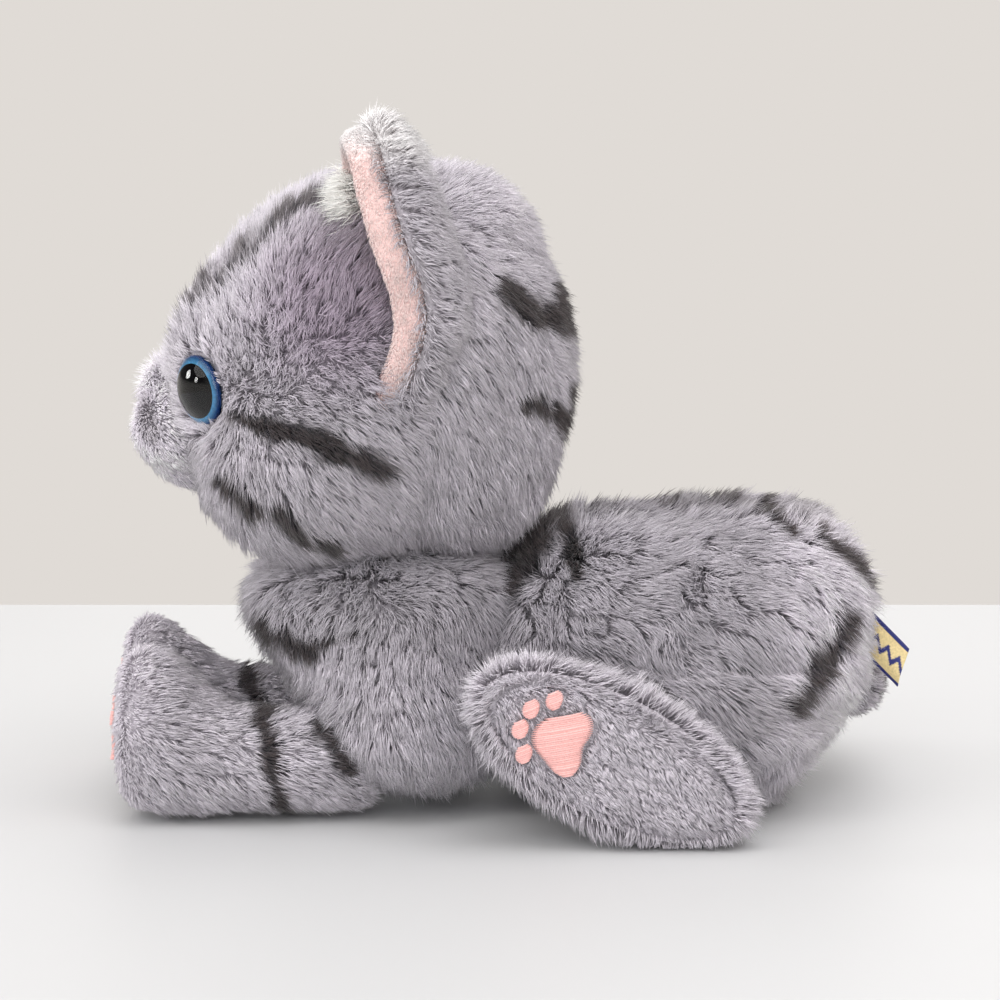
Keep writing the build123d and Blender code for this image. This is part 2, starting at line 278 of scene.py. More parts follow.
# ---- skins


class Skin:
    """A closed surface of triangles, with its normals and how deep each point is in other parts."""

    def __init__(self, points, faces):
        self.points, self.faces = points, faces
        self.depth = np.full(len(points), -50.0)
        self.update()

    def update(self):
        corner = self.points[self.faces]
        across = np.cross(corner[:, 1] - corner[:, 0], corner[:, 2] - corner[:, 0])
        self.areas = np.linalg.norm(across, axis=1) / 2
        total = np.zeros_like(self.points)
        for k in range(3):
            np.add.at(total, self.faces[:, k], across)
        self.normals = unit(total)
        self.centres = corner.mean(axis=1)

    def mirror(self):
        other = Skin(self.points * (-1.0, 1.0, 1.0), self.faces[:, ::-1].copy())
        other.depth = self.depth.copy()
        return other

    def tree(self):
        return BVHTree.FromPolygons(self.points.tolist(), self.faces.tolist())

    def bury(self, *others):
        """Notes how deep each point lies in the other skins; it is negative outside them."""
        for other in others:
            tree = other.tree()
            for i, point in enumerate(self.points):
                place, normal, _, distance = tree.find_nearest(Vector(point))
                inside = (Vector(point) - place).dot(normal) < 0
                self.depth[i] = max(self.depth[i], distance if inside else -distance)


def ball(detail):
    """Directions and triangles of an even ball."""
    shape = bmesh.new()
    bmesh.ops.create_icosphere(shape, subdivisions=detail, radius=1.0)
    directions = np.array([v.co for v in shape.verts])
    faces = np.array([[v.index for v in f.verts] for f in shape.faces])
    shape.free()
    return directions, faces


def reach(directions, start, centre, radii):
    """How far each direction goes from start to the far side of an ellipsoid, and 0 where it misses."""
    radii = np.array(radii, float)
    ray = directions / radii
    origin = (np.array(start, float) - np.array(centre, float)) / radii
    a = np.sum(ray * ray, axis=1)
    b = 2 * ray @ origin
    inside = b * b - 4 * a * (origin @ origin - 1)
    far = (-b + np.sqrt(np.maximum(inside, 0))) / (2 * a)
    return np.where(inside > 0, np.maximum(far, 0), 0)


def star(centre, lumps, detail, sharp=14):
    """A skin round centre that flows over several ellipsoids."""
    directions, faces = ball(detail)
    reaches = [reach(directions, centre, place, radii) for place, radii in lumps]
    radius = sum(r ** sharp for r in reaches) ** (1 / sharp)
    return Skin(np.array(centre) + directions * radius[:, None], faces)


def ring_faces(rings, around):
    """Triangles of a form that is a pole, rings of points, and a pole: the first fan, the sides, and the last fan."""
    step = np.arange(around)
    following = (step + 1) % around
    first = np.column_stack([np.zeros(around, int), 1 + following, 1 + step])
    sides = []
    for k in range(rings - 1):
        a, b = 1 + k * around + step, 1 + k * around + following
        sides += [np.column_stack([a, b, b + around]), np.column_stack([a, b + around, a + around])]
    end = 1 + (rings - 1) * around
    last = np.column_stack([np.full(around, end + around), end + step, end + following])
    return first, np.vstack(sides), last


def outward(points, faces):
    """A skin whose triangles face outwards."""
    skin = Skin(points, faces)
    if np.sum((skin.centres - points.mean(axis=0)) * skin.normals[skin.faces[:, 0]]) < 0:
        skin = Skin(points, faces[:, ::-1].copy())
    return skin


def tube_skin(stations, place, rounding, inset=SKIN_INSET, rows=90, around=110):
    """A closed skin through oval sections. place turns (along, middle, across, up) columns into points."""
    table = np.array(sorted(stations), float)
    low, high = table[0, 0] + inset, table[-1, 0] - inset
    share = 0.5 - 0.5 * np.cos(np.pi * np.linspace(0, 1, rows))
    along = low + (high - low) * share
    size = spline(table[:, 0], table[:, 1:], along)
    size[:, 1:] -= inset
    for gap, radius in ((along - low, rounding[0]), (high - along, rounding[1])):
        near = np.clip(radius - gap, 0, radius)
        size[:, 1:] -= (radius - np.sqrt(radius ** 2 - near ** 2))[:, None]
    caps = np.array((0.8, 0.6, 0.4, 0.2))
    first = np.column_stack([np.full(4, low), np.full(4, size[0, 0]), np.outer(caps[::-1], size[0, 1:])])
    last = np.column_stack([np.full(4, high), np.full(4, size[-1, 0]), np.outer(caps, size[-1, 1:])])
    table = np.vstack([first, np.column_stack([along, size]), last])
    turn = np.linspace(0, 2 * np.pi, around, endpoint=False)
    rings = [place(row[0], row[1], row[2] * np.cos(turn), row[3] * np.sin(turn)) for row in table]
    poles = [place(table[k, 0], table[k, 1], np.zeros(1), np.zeros(1)) for k in (0, -1)]
    first, sides, last = ring_faces(len(table), around)
    return outward(np.vstack([poles[0], *rings, poles[1]]), np.vstack([sides, first, last]))


def from_eye(points, side):
    """How high places are over the middle of an eye, how far they are from its axis, and the axis."""
    out = EYE_OUT * (side, 1, 1)
    offset = points - EYE_CENTRE * (side, 1, 1)
    height = offset @ out
    return height, np.linalg.norm(offset - height[:, None] * out, axis=1), out


def head_skin():
    inset = HEAD_RADII - SKIN_INSET
    lumps = [(HEAD_CENTRE, inset), ((0, -61, 85), (16, 17.5, 14)), ((0, -16, 138), (27, 16, 14))]
    for side in (LEFT, RIGHT):
        lumps += [((27 * side, -52, 87.5), (23, 21.5, 19.5)), ((15 * side, -13, 88), (23, 18, 20))]
    skin = star(HEAD_CENTRE, lumps, 6)
    points = skin.points
    points[:, 1] -= 0.045 * np.maximum(points[:, 1] - HEAD_CENTRE[1], 0)
    away = unit(points - HEAD_CENTRE)
    for direction, amount, near in (((0, -0.66, 0.75), 3.5, 0.72), ((0, -0.9, 0.43), 4.5, 0.84)):
        points -= away * (amount * ramp(away @ unit(np.array(direction)), near, 1.0))[:, None]
    points += away * 0.8 * noise(points, 17, 3)[:, None]
    points -= away * 1.3 * np.exp(-(crown_edge(points) / 1.8) ** 2)[:, None]
    seam = np.abs(points[:, 1] - EAR_SEAM_Y)
    below = ramp(points[:, 2], 112, 100)
    points -= away * (1.3 * below * np.exp(-(seam / 1.8) ** 2))[:, None]
    for side in (LEFT, RIGHT):
        height, radial, out = from_eye(points, side)
        near = ramp(radial, EYE_RADIUS + 5.5, EYE_RADIUS + 1.2) * (np.abs(height) < 25)
        points -= out * ((height + 1.4) * near)[:, None]
    below = points - NECK
    far = np.linalg.norm(below, axis=1)
    points += unit(below) * np.maximum(NECK_SOCKET - far, 0)[:, None]
    skin.update()
    return skin


def crown_edge(points):
    """Distance across the head's middle strip to its seam; it is negative on the strip."""
    width = np.interp(points[:, 1], [-84, -80, -72, -63, -56, -48, -8, 14], [21, 27, 35, 38, 36, 34, 33, 18])
    return np.abs(points[:, 0]) - width


def muzzle_skin():
    lumps = [(MUZZLE_CENTRE, (20, 14.5, 12.5)), (MUZZLE_CENTRE + (0, -2, -5.5), (11, 9.5, 7.5))]
    lumps += [(MUZZLE_CENTRE + (8 * side, -2.5, 0), (11.5, 12, 9.5)) for side in (LEFT, RIGHT)]
    lumps += [(MUZZLE_CENTRE + (0, 2.5, 7.5), (11.5, 15.5, 9.5))]
    return star(MUZZLE_CENTRE, lumps, 5)


def torso_skin():
    def place(height, middle, across, depth):
        return np.column_stack([across, middle + depth, np.full(len(across), height)])
    skin = tube_skin(TORSO, place, (14, 3))
    skin.points += skin.normals * 1.0 * noise(skin.points, 19, 5)[:, None]
    skin.update()
    return skin


def rump_skin():
    def place(y, middle, across, height):
        square = 1 + 0.05 * np.sign(-height) * (np.abs(height) > 1)
        return np.column_stack([across * square, np.full(len(across), y), middle + height])
    skin = tube_skin(RUMP, place, (12, 10))
    points = skin.points
    fold = distance_to_line(np.abs(points), (45, 19, 34), (38, 36, 56))[0]
    points -= skin.normals * (2.6 * np.exp(-(fold / 3.5) ** 2))[:, None]
    seam = np.abs(np.abs(points[:, 0]) - SPINE_HALF_WIDTH)
    points -= skin.normals * (1.6 * np.exp(-(seam / 1.8) ** 2) * (points[:, 2] > 45))[:, None]
    points += skin.normals * 1.6 * noise(points, 21, 9)[:, None]
    forward = 1.8 * ramp(-points[:, 2], -54, -44) + 0.23 * np.maximum(46 - points[:, 2], 0)
    points[:, 1] -= forward * ramp(points[:, 1], 35, 80)
    flatten(skin)
    return skin


def flatten(skin):
    """Where the cat rests, the cloth lies flat just over the floor."""
    skin.points[:, 2] = np.maximum(skin.points[:, 2], FLOOR_GAP + 0.6)
    skin.update()


def front_leg_skin():
    def place(y, middle, across, height):
        return np.column_stack([FRONT_LEG_X + across, np.full(len(across), y), middle + height])
    skin = tube_skin(FRONT_LEG, place, (4.5, 6), inset=2.8)
    skin.points += skin.normals * 0.7 * noise(skin.points, 13, 11)[:, None]
    flatten(skin)
    return skin


def lay_ahead(points, side, sign=1):
    """Moves places on the left leg's shape to where they are on the leg of this side, or back with sign -1."""
    ahead = RIGHT_PAW_AHEAD * sign if side == RIGHT else 0
    return points - ramp(-points[:, 1:2], 38, 68) * np.array((0, ahead, 0))


def foot_axes():
    """Along the left hind foot towards its toes, and across it upwards."""
    along = np.array((0, -math.cos(FOOT_TILT), math.sin(FOOT_TILT)))
    across = np.array((0, math.sin(FOOT_TILT), math.cos(FOOT_TILT)))
    return along, across


def foot_point(x, along, across):
    first, second = foot_axes()
    flat = np.column_stack([np.broadcast_to(x, np.shape(along)), np.zeros((len(along), 2))])
    return flat + FOOT_MIDDLE + np.outer(along, first) + np.outer(across, second)


def sole_share(points):
    """1 at the seam round the hind foot's sole, and less inside it."""
    first, second = foot_axes()
    offset = points - FOOT_MIDDLE
    return np.hypot(offset @ first / SOLE_RADII[0], offset @ second / SOLE_RADII[1])


def foot_skin():
    def place(x, _, length, width):
        return foot_point(x, length, width)
    table = [(x, 0, length, width) for x, length, width in FOOT]
    skin = tube_skin(table, place, (9, 5), inset=2.6)
    points = skin.points
    round_it = sole_share(points)
    outer = ramp(points[:, 0], 57, 62)
    points[:, 0] -= 2.8 * np.exp(-((round_it - 1) / 0.09) ** 2) * outer
    points[:, 0] -= 1.2 * ramp(1 - round_it, 0.0, 0.1) * outer
    points += skin.normals * (1.6 * np.exp(-((round_it - 1.17) / 0.1) ** 2) * outer)[:, None]
    flatten(skin)
    return skin


def curve_through(points, count):
    """Evenly spaced points on a smooth curve, and its directions."""
    points = np.array(points, float)
    steps = np.concatenate([[0], np.cumsum(np.linalg.norm(np.diff(points, axis=0), axis=1))])
    fine = spline(steps, points, np.linspace(0, steps[-1], 12 * count))
    length = np.concatenate([[0], np.cumsum(np.linalg.norm(np.diff(fine, axis=0), axis=1))])
    even = np.linspace(0, length[-1], count)
    path = np.column_stack([np.interp(even, length, fine[:, k]) for k in range(3)])
    return path, unit(np.gradient(path, axis=0))


def tail_skin():
    path, direction = curve_through(TAIL_PATH, 90)
    side = unit(np.cross(direction, (0, 0, 1.0)))
    over = np.cross(side, direction)

    def place(along, _, across, up):
        k = np.clip(along, 0, 1) * (len(path) - 1)
        low = int(min(k, len(path) - 2))
        share = k - low
        middle = path[low] * (1 - share) + path[low + 1] * share
        middle = middle + direction[low] * (along - np.clip(along, 0, 1)) * 110
        return middle + np.outer(across, side[low]) + np.outer(up, over[low])
    radius = TAIL_RADIUS - 1.0
    table = [(-0.04, 0, radius, radius), (0.5, 0, radius, radius), (1.05, 0, radius - 1.2, radius - 1.2)]
    return tube_skin(table, place, (0.05, 0.06), inset=0.0)


# ---- objects


def finish_mesh(name, mesh, material):
    obj = bpy.data.objects.new(name, mesh)
    bpy.context.scene.collection.objects.link(obj)
    mesh.materials.append(material)
    return obj


def raw_mesh(name, points, faces):
    """A smooth-shaded mesh from arrays of points in mm and triangles."""
    mesh = bpy.data.meshes.new(name)
    mesh.vertices.add(len(points))
    mesh.vertices.foreach_set("co", (points * MM).astype(np.float32).ravel())
    mesh.loops.add(faces.size)
    mesh.loops.foreach_set("vertex_index", faces.astype(np.int32).ravel())
    mesh.polygons.add(len(faces))
    mesh.polygons.foreach_set("loop_start", np.arange(0, faces.size, 3, dtype=np.int32))
    mesh.polygons.foreach_set("use_smooth", np.ones(len(faces), bool))
    mesh.update(calc_edges=True)
    return mesh


def set_colours(mesh, colours):
    layer = mesh.color_attributes.new("coat", "FLOAT_COLOR", "POINT")
    layer.data.foreach_set("color", np.column_stack([colours, np.ones(len(colours))]).astype(np.float32).ravel())


def set_map(mesh, places, faces):
    layer = mesh.uv_layers.new(name="OFBake")
    layer.data.foreach_set("uv", places[faces.ravel()].astype(np.float32).ravel())


def mesh_object(name, points, faces, material, colours=None):
    """faces may be triangles, or quads, which are cut in two."""
    faces = np.array(faces)
    if faces.shape[1] == 4:
        faces = np.vstack([faces[:, :3], faces[:, (0, 2, 3)]])
    mesh = raw_mesh(name, np.array(points, float), faces)
    if colours is not None:
        set_colours(mesh, colours)
    return finish_mesh(name, mesh, material)


def cloth(name, skin, where, colour, body, node):
    """The part of a skin that one panel covers, as cloth with a thickness."""
    faces = skin.faces[where]
    used, index = np.unique(faces, return_inverse=True)
    faces = index.reshape(-1, 3)
    points = skin.points[used]
    mesh = raw_mesh(name, points, faces)
    set_colours(mesh, colour(points))
    spread = unit(points - points.mean(axis=0))
    flat = np.column_stack([np.arctan2(spread[:, 0], spread[:, 1]) / 6.3 + 0.5, spread[:, 2] * 0.5 + 0.5])
    set_map(mesh, flat, faces)
    obj = finish_mesh(name, mesh, MATERIALS["cloth"])
    thick = obj.modifiers.new("cloth", "SOLIDIFY")
    thick.thickness = CLOTH * MM
    thick.offset = -1
    ride(obj, body)
    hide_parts(node)


def filling(skin, body, node):
    """Fibre fill just under the cloth."""
    obj = mesh_object(node + "_fibre", skin.points - skin.normals * (CLOTH + 1.0), skin.faces, MATERIALS["fill"])
    ride(obj, body)
    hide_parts(node)


def ride(obj, body):
    """body is a name, or (name, name, start, end) for a piece between two bodies; such a piece is only fixed in place,
    with its transform written into its points, and rides on neither body.
    """
    if isinstance(body, str):
        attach(obj, body)
    else:
        first, second, start, end = body
        tuple(np.array(start) * MM)
        tuple(np.array(end) * MM)
        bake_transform(obj)


# ---- pile


def strand_object(name, root, ring, tip, radius, colours, body):
    """Strands as thin closed spindles: a point in the cloth, a ring of three, and a tip."""
    count = len(root)
    axis = unit(tip - root)
    side = unit(np.cross(axis, unit(rng.normal(size=(count, 3)))))
    other = np.cross(axis, side)
    radius = radius[:, None]
    corners = [ring + radius * (math.cos(a) * side + math.sin(a) * other) for a in (0, 2.0944, 4.18879)]
    points = np.stack([root, *corners, tip], axis=1).reshape(-1, 3)
    one = np.array(((0, 2, 1), (0, 3, 2), (0, 1, 3), (4, 1, 2), (4, 2, 3), (4, 3, 1)))
    faces = (np.arange(count)[:, None, None] * 5 + one).reshape(-1, 3)
    mesh = raw_mesh(name, points, faces)
    root_colour, ring_colour, tip_colour = colours
    set_colours(mesh, np.stack([root_colour, *[ring_colour] * 3, tip_colour], axis=1).reshape(-1, 3))
    columns = math.ceil(math.sqrt(count))
    cell = np.column_stack([np.arange(count) % columns, np.arange(count) // columns])
    inside = np.array(((0.5, 0.1), (0.2, 0.5), (0.5, 0.5), (0.8, 0.5), (0.5, 0.9)))
    set_map(mesh, ((cell[:, None, :] + inside) / columns).reshape(-1, 2), faces)
    obj = finish_mesh(name, mesh, MATERIALS["fur"])
    ride(obj, body)


def scatter(skin, where, density):
    """Places, normals and depths of strands spread evenly over some of the skin's triangles."""
    chosen = np.flatnonzero(where & (skin.depth[skin.faces].min(axis=1) < BURIED))
    areas = skin.areas[chosen]
    count = int(density * areas.sum())
    picked = chosen[np.searchsorted(np.cumsum(areas), rng.random(count) * areas.sum())]
    first, second = rng.random((2, count))
    over = first + second > 1
    first[over], second[over] = 1 - first[over], 1 - second[over]
    weights = np.column_stack([1 - first - second, first, second])[:, :, None]
    corner = skin.faces[picked]
    return ((skin.points[corner] * weights).sum(axis=1), unit((skin.normals[corner] * weights).sum(axis=1)),
            (skin.depth[corner] * weights[:, :, 0]).sum(axis=1))


def pile(name, skin, where, body, colours, comb, length=6.5, density=FUR_DENSITY, lean=0.9, slot="grey_tabby_fur",
         trim=None, lock=3.6, pull=0.6, ruffle=0.4, radius=STRAND_RADIUS, seed=1, flecks=0.1,
         mottle=1.0, bright=1.0):
    """The pile of one panel. comb gives each root the direction its strand leans in, and lean how far it does.
    lock is the size of its locks, pull how tightly they draw together, ruffle how uneven the comb is, flecks the
    share of darker strands, and mottle how much the strands' brightness varies."""
    root, normal, depth = scatter(skin, where, density)
    keep = depth < BURIED
    size = length * (1 + 0.16 * rng.normal(size=len(root))) * (1 - 0.5 * ramp(depth, -2.5, BURIED))
    size *= 1 + 0.14 * noise(root, 6, seed + 20)
    if trim is not None:
        share = trim(root)
        size = size * share
        keep &= share > 0.12
    root, normal, size = root[keep], normal[keep], np.clip(size[keep], 0.8, 2 * length)[:, None]
    flow = comb(root, normal) + ruffle * noise_vectors(root, 14, seed + 30)
    flow = flow + 0.4 * ruffle * noise_vectors(root, 4.5, seed + 40)
    flow = flow - np.sum(flow * normal, axis=1, keepdims=True) * normal
    middle, own = nearest_lock(root, lock, seed)
    twist = noise_vectors(middle * 3.1, 1.0, seed + 50)
    flow = flow + 0.45 * ruffle * twist
    start = unit(normal + 0.55 * lean * flow + 0.1 * rng.normal(size=root.shape))
    finish = unit(normal * 0.55 + lean * flow + 0.14 * rng.normal(size=root.shape))
    ring = root + start * size * 0.5
    tip = ring + finish * size * 0.5
    target = middle + (normal * 0.62 + unit(flow) * lean * 0.62) * length * (0.9 + 0.3 * own[:, None])
    drawn = pull * (0.35 + 0.65 * rng.random((len(root), 1)))
    shift = target - tip
    shift -= np.sum(shift * finish, axis=1, keepdims=True) * finish * 0.6
    tip = tip + drawn * shift
    ring = ring + 0.4 * drawn * shift
    root = root - normal * 0.4
    for part in (ring, tip):
        part[:, 2] = np.maximum(part[:, 2], FLOOR_GAP)
    shades = shade(0.35 * ring + 0.65 * tip, colours, own, seed, flecks, mottle, bright)
    thick = radius * (0.75 + 0.5 * rng.random(len(root)))
    place_pieces(name, root, ring, tip, thick, shades, body)


def place_pieces(name, root, ring, tip, thick, shades, body):
    """Writes the strands in pieces that are small enough to keep whole, from the front of the cat to its back."""
    pieces = math.ceil(len(root) / STRANDS_IN_A_PIECE)
    order = np.argsort(root[:, 1], kind="stable")
    for k, part in enumerate(np.array_split(order, pieces)):
        own_name = name if pieces == 1 else f"{name}_{k + 1}"
        strand_object(own_name, root[part], ring[part], tip[part], thick[part], [c[part] for c in shades], body)


def shade(root, colours, own, seed, flecks, mottle=1.0, bright=1.0):
    """Colours at each strand's root, middle and tip."""
    low, middle, high = colours(root)
    count = len(root)
    light = 0.07 * rng.normal(size=count) + 0.16 * (own - 0.5) + 0.08 * noise(root, 9, seed + 60)
    light = bright * np.clip(1 + mottle * light, 0.55, 1.4)[:, None]
    dark = (rng.random(count) < flecks * (1 + 0.8 * noise(root, 11, seed + 70)))[:, None]
    middle = np.where(dark, middle * 0.6, middle)
    high = np.where(dark, high * 0.6, high)
    return [np.clip(part * light, 0, 1) for part in (low, middle, high)]


def tabby(stripes, tint=None):
    """Grey fur, dark where stripes() says so, and scaled by tint where it is given, which carries both the fur's own
    tints and painted light and shade.
    """
    def colours(root):
        amount = np.clip(stripes(root), 0, 1)[:, None]
        grey = [FUR_ROOT, FUR_MIDDLE, FUR_TIP]
        dark = [STRIPE_ROOT, STRIPE_MIDDLE, STRIPE_TIP]
        parts = [g * (1 - amount) + d * amount for g, d in zip(grey, dark)]
        if tint is not None:
            parts = [part * tint(root) for part in parts]
        return parts
    return colours


unmarked = tabby(lambda root: np.zeros(len(root)))


def cloth_colour(colours):
    return lambda points: colours(points)[1] * 0.8


def bands(points, lines, seed):
    """How dark each place is, for lines drawn on the cat's side. A line has its two ends as (y, height), its half
    widths there, and how far from the middle of the cat it begins."""
    side_view = points * (0, 1, 1)
    ragged = 1.3 * noise(points, 3.5, seed) + 0.8 * noise(points, 9, seed + 1)
    amount = np.zeros(len(points))
    for start, end, first, last, least in lines:
        distance, share = distance_to_line(side_view, (0, *start), (0, *end))
        width = first + (last - first) * share
        dark = 1 - ramp(distance + ragged, width * 0.5, width * 1.35)
        amount = np.maximum(amount, dark * (np.abs(points[:, 0]) >= least))
    return amount


HEAD_STRIPES = [
    ((-70, 98), (-59, 96), 1.4, 2.3, 20), ((-59, 96), (-46, 92.5), 2.3, 3.2, 20),
    ((-46, 92.5), (-31, 86), 3.2, 3.6, 20),
    ((-71, 82), (-62, 75.5), 2.4, 2.8, 20), ((-55.5, 75), (-50, 69), 2.8, 2.4, 20),
    ((-46, 68), (-43, 65), 1.8, 1.6, 20),
    ((-3, 127), (4, 120.5), 2.6, 3.2, 0), ((4, 120.5), (12, 118.5), 3.2, 4.0, 0), ((10, 127), (12, 121), 2.2, 4.0, 0),
    ((0.8, 99.5), (8, 97), 2.0, 2.8, 0), ((8, 97), (13, 94), 3.0, 4.0, 0), ((13, 102), (13, 91), 2.2, 3.4, 0),
]


def head_stripes(points):
    amount = bands(points, HEAD_STRIPES, 100)
    beyond = crown_edge(points)
    front = (points[:, 1] < -42) & (points[:, 2] > 116)
    patches = 0.25 + 0.75 * np.clip(ramp(points[:, 1], -62, -58) + ramp(-points[:, 1], 72, 76)
                                    + np.exp(-((points[:, 1] + 66.5) / 2.2) ** 2), 0, 1)
    half = 3.2 + 0.9 * ramp(points[:, 1], -62, -55) - 1.2 * ramp(-points[:, 1], 62, 72)
    wide = 0.9 * (1 - ramp(np.abs(beyond + 4.2) + 1.8 * noise(points, 4, 103), half - 1.6, half + 2.4)) * patches
    thin = 0.8 * (1 - ramp(np.abs(beyond + 0.3), 0.7, 1.8))
    return np.maximum(amount, np.maximum(wide, thin) * front)


def head_tint_and_top_light(points):
    """The cheek in front of the ear is a shade more purple, and the top of the head towards its back is painted up to
    a tenth lighter, for light from above.
    """
    near = np.linalg.norm((points - (0, -40, 127)) * (0, 1, 1), axis=1) + 30 * (crown_edge(points) < 0)
    share = (1 - ramp(near, 6, 31))[:, None]
    # Painted light: the top of the head towards its back is drawn up to a tenth brighter, where light from above
    # falls.
    over = 0.1 * ramp(points[:, 2], 132, 150)[:, None] * ramp(points[:, 1:2], -45, -25)
    return 1 + over - share * np.array((0.34, 0.41, 0.34))


TORSO_STRIPES = [((-64, 43.5), (-51, 41), 3.2, 3.4, 0), ((-51, 42), (-40, 46), 1.8, 1.0, 12)]
FAR_BAND_AHEAD = 2.5         # of the band round the right front leg
LEG_STRIPES = [
    ((-65, 37), (-60, 22), 2.0, 2.2, 0), ((-60, 22), (-56, 1), 2.2, 2.2, 0),
    ((-47.5, 24.5), (-40.5, 13), 2.0, 2.6, 25),
]
RUMP_STRIPES = [
    ((-5, 56), (4, 68), 4.5, 4.5, 0), ((2, 67), (10, 73), 3.0, 3.4, 0), ((9, 75), (13, 60), 3.4, 2.0, 0),
    ((16, 76.5), (38, 76.5), 1.8, 1.8, 0), ((44, 77), (54, 76), 1.8, 1.4, 0), ((62, 74), (66, 69), 2.2, 1.4, 0),
    ((74, 68), (83, 60), 1.6, 2.4, 0), ((83, 60), (89, 53), 2.4, 1.8, 0),
    ((80, 47), (73, 39), 3.0, 3.8, 14), ((73, 39), (66, 29), 3.8, 3.2, 14),
]


def nearest_on(path, points):
    """The number of the place on a path that each point is nearest to."""
    return np.argmin(((points[:, None, :] - path[None, :, :]) ** 2).sum(axis=2), axis=1)


def tail_rings(points):
    nearest = nearest_on(curve_through(TAIL_PATH, 60)[0], points) / 59
    wave = np.sin(nearest * 5.5 * 2 * np.pi) + 0.4 * noise(points, 4, 130)
    return np.maximum(ramp(wave, 0.25, 0.75), ramp(nearest, 0.9, 0.94))


# ---- which way the pile lies


def towards(direction, away=None, share=0.0):
    """A comb in one direction; away and share add a spread from a place."""
    direction = np.array(direction, float)

    def comb(root, normal):
        flow = np.broadcast_to(direction, root.shape)
        if away is not None:
            flow = flow + share * unit(root - np.array(away, float))
        return flow
    return comb


def cheek_comb(side):
    middle = EYE_CENTRE * (side, 1, 1)

    def comb(root, normal):
        spread = unit(root - middle + (0, -6, 4))
        down = ramp(root[:, 2], 112, 80)[:, None] * np.array((0, 0.25, -0.9))
        return 0.75 * spread + down
    return comb


def eye_trim(root):
    """Pile is cut short round the eyes."""
    share = np.ones(len(root))
    for side in (LEFT, RIGHT):
        height, radial, _ = from_eye(root, side)
        far = np.where(np.hypot(height, radial) < 24, radial, 99)
        cut = 0.4 + 0.6 * ramp(far, EYE_RADIUS, EYE_RADIUS + 5)
        share = np.minimum(share, np.where(far < EYE_RADIUS + 0.1, 0, cut))
    return share


# ---- materials

MATERIALS = {}


def set_inputs(node, **values):
    """Input values of a node by name, with an underscore for each space."""
    for socket, value in values.items():
        node.inputs[socket.replace("_", " ")].default_value = value


def add_node(tree, kind, settings=None, **values):
    node = tree.nodes.new("ShaderNode" + kind)
    for key, value in (settings or {}).items():
        setattr(node, key, value)
    set_inputs(node, **values)
    return node


def new_material(name, **values):
    mat = bpy.data.materials.new(name)
    mat.use_nodes = True
    set_inputs(mat.node_tree.nodes["Principled BSDF"], **values)
    return mat


def material(name, base, roughness, colour=None, scale=900.0, spread=0.12, bump=0.0, **sockets):
    """A node material. colour is a plain colour, or None for the mesh's own coat colours; noise varies it."""
    mat = MATERIALS[base] = new_material(name, Roughness=roughness, **sockets)
    tree, links = mat.node_tree, mat.node_tree.links
    shader = tree.nodes["Principled BSDF"]
    place = add_node(tree, "TexCoord")
    grain = add_node(tree, "TexNoise", Scale=scale, Detail=3.0)
    mix = add_node(tree, "Mix", {"data_type": "RGBA", "blend_type": "MULTIPLY"}, Factor=1.0)
    tone = add_node(tree, "MapRange", To_Min=1 - spread, To_Max=1 + spread, From_Min=0.3, From_Max=0.7)
    links.new(place.outputs["Object"], grain.inputs["Vector"])
    links.new(grain.outputs["Fac"], tone.inputs["Value"])
    if colour is None:
        coat = add_node(tree, "Attribute", {"attribute_name": "coat"})
        links.new(coat.outputs["Color"], mix.inputs["A"])
    else:
        mix.inputs["A"].default_value = (*colour, 1)
    links.new(tone.outputs["Result"], mix.inputs["B"])
    links.new(mix.outputs["Result"], shader.inputs["Base Color"])
    if bump:
        raised = add_node(tree, "Bump", Strength=bump, Distance=0.0003)
        links.new(grain.outputs["Fac"], raised.inputs["Height"])
        links.new(raised.outputs["Normal"], shader.inputs["Normal"])


def make_materials():
    material("fur_strands", "fur", 0.62, scale=260, spread=0.06, Specular_IOR_Level=0.25, Sheen_Weight=0.25)
    material("fur_backing_cloth", "cloth", 0.9, scale=1500, spread=0.25, bump=0.5, Specular_IOR_Level=0.1)
    material("embroidery_thread", "thread", 0.42, scale=2600, spread=0.1, Specular_IOR_Level=0.4, Sheen_Weight=0.3)
    material("fibre_fill", "fill", 0.9, srgb(236, 234, 230), scale=500, spread=0.1, bump=0.4)
    material("pellet_cloth", "pellets", 0.85, srgb(206, 202, 196), scale=300, spread=0.2, bump=0.6)
    material("white_plastic", "washer", 0.4, srgb(226, 226, 222), scale=200, spread=0.05, bump=0.1)
    material("pupil_black", "pupil", 0.9, srgb(4, 4, 6), scale=120, spread=0.2, Specular_IOR_Level=0.0)
    material("iris_paint", "iris", 0.7, scale=1800, spread=0.2, Specular_IOR_Level=0.1)
    material("woven_ribbon", "ribbon", 0.7, scale=1900, spread=0.14, bump=0.35)
    MATERIALS["lens"] = new_material("clear_acrylic", Base_Color=(0.97, 0.98, 1.0, 1), Roughness=0.015, IOR=1.46,
                                     Transmission_Weight=1.0)


# ---- the parts


def floor_trim(root):
    """Pile under the cat is pressed short."""
    return 0.35 + 0.65 * ramp(root[:, 2], 0.5, 7)


def head_panels(skin):
    """Name, triangles, CAD node, comb, length and lean of each panel of the head."""
    places = skin.centres
    crown = (crown_edge(places) < 0) & (places[:, 2] > MUZZLE_CENTRE[2])
    front = places[:, 1] < EAR_SEAM_Y
    over_the_top = lambda root, normal: np.cross(normal, (1.0, 0, 0))
    rows = [("forehead_panel", crown, over_the_top, 6.5, 0.6)]
    for side, word in SIDES.items():
        own = places[:, 0] * side >= 0
        rows.append((f"{word}_cheek_panel", ~crown & front & own, cheek_comb(side), 6.6, 0.8))
        back = towards((0.0, 0.35, -1.0))
        rows.append((f"{word}_head_back_panel", ~crown & ~front & own, back, 6.8, 0.95))
    return rows


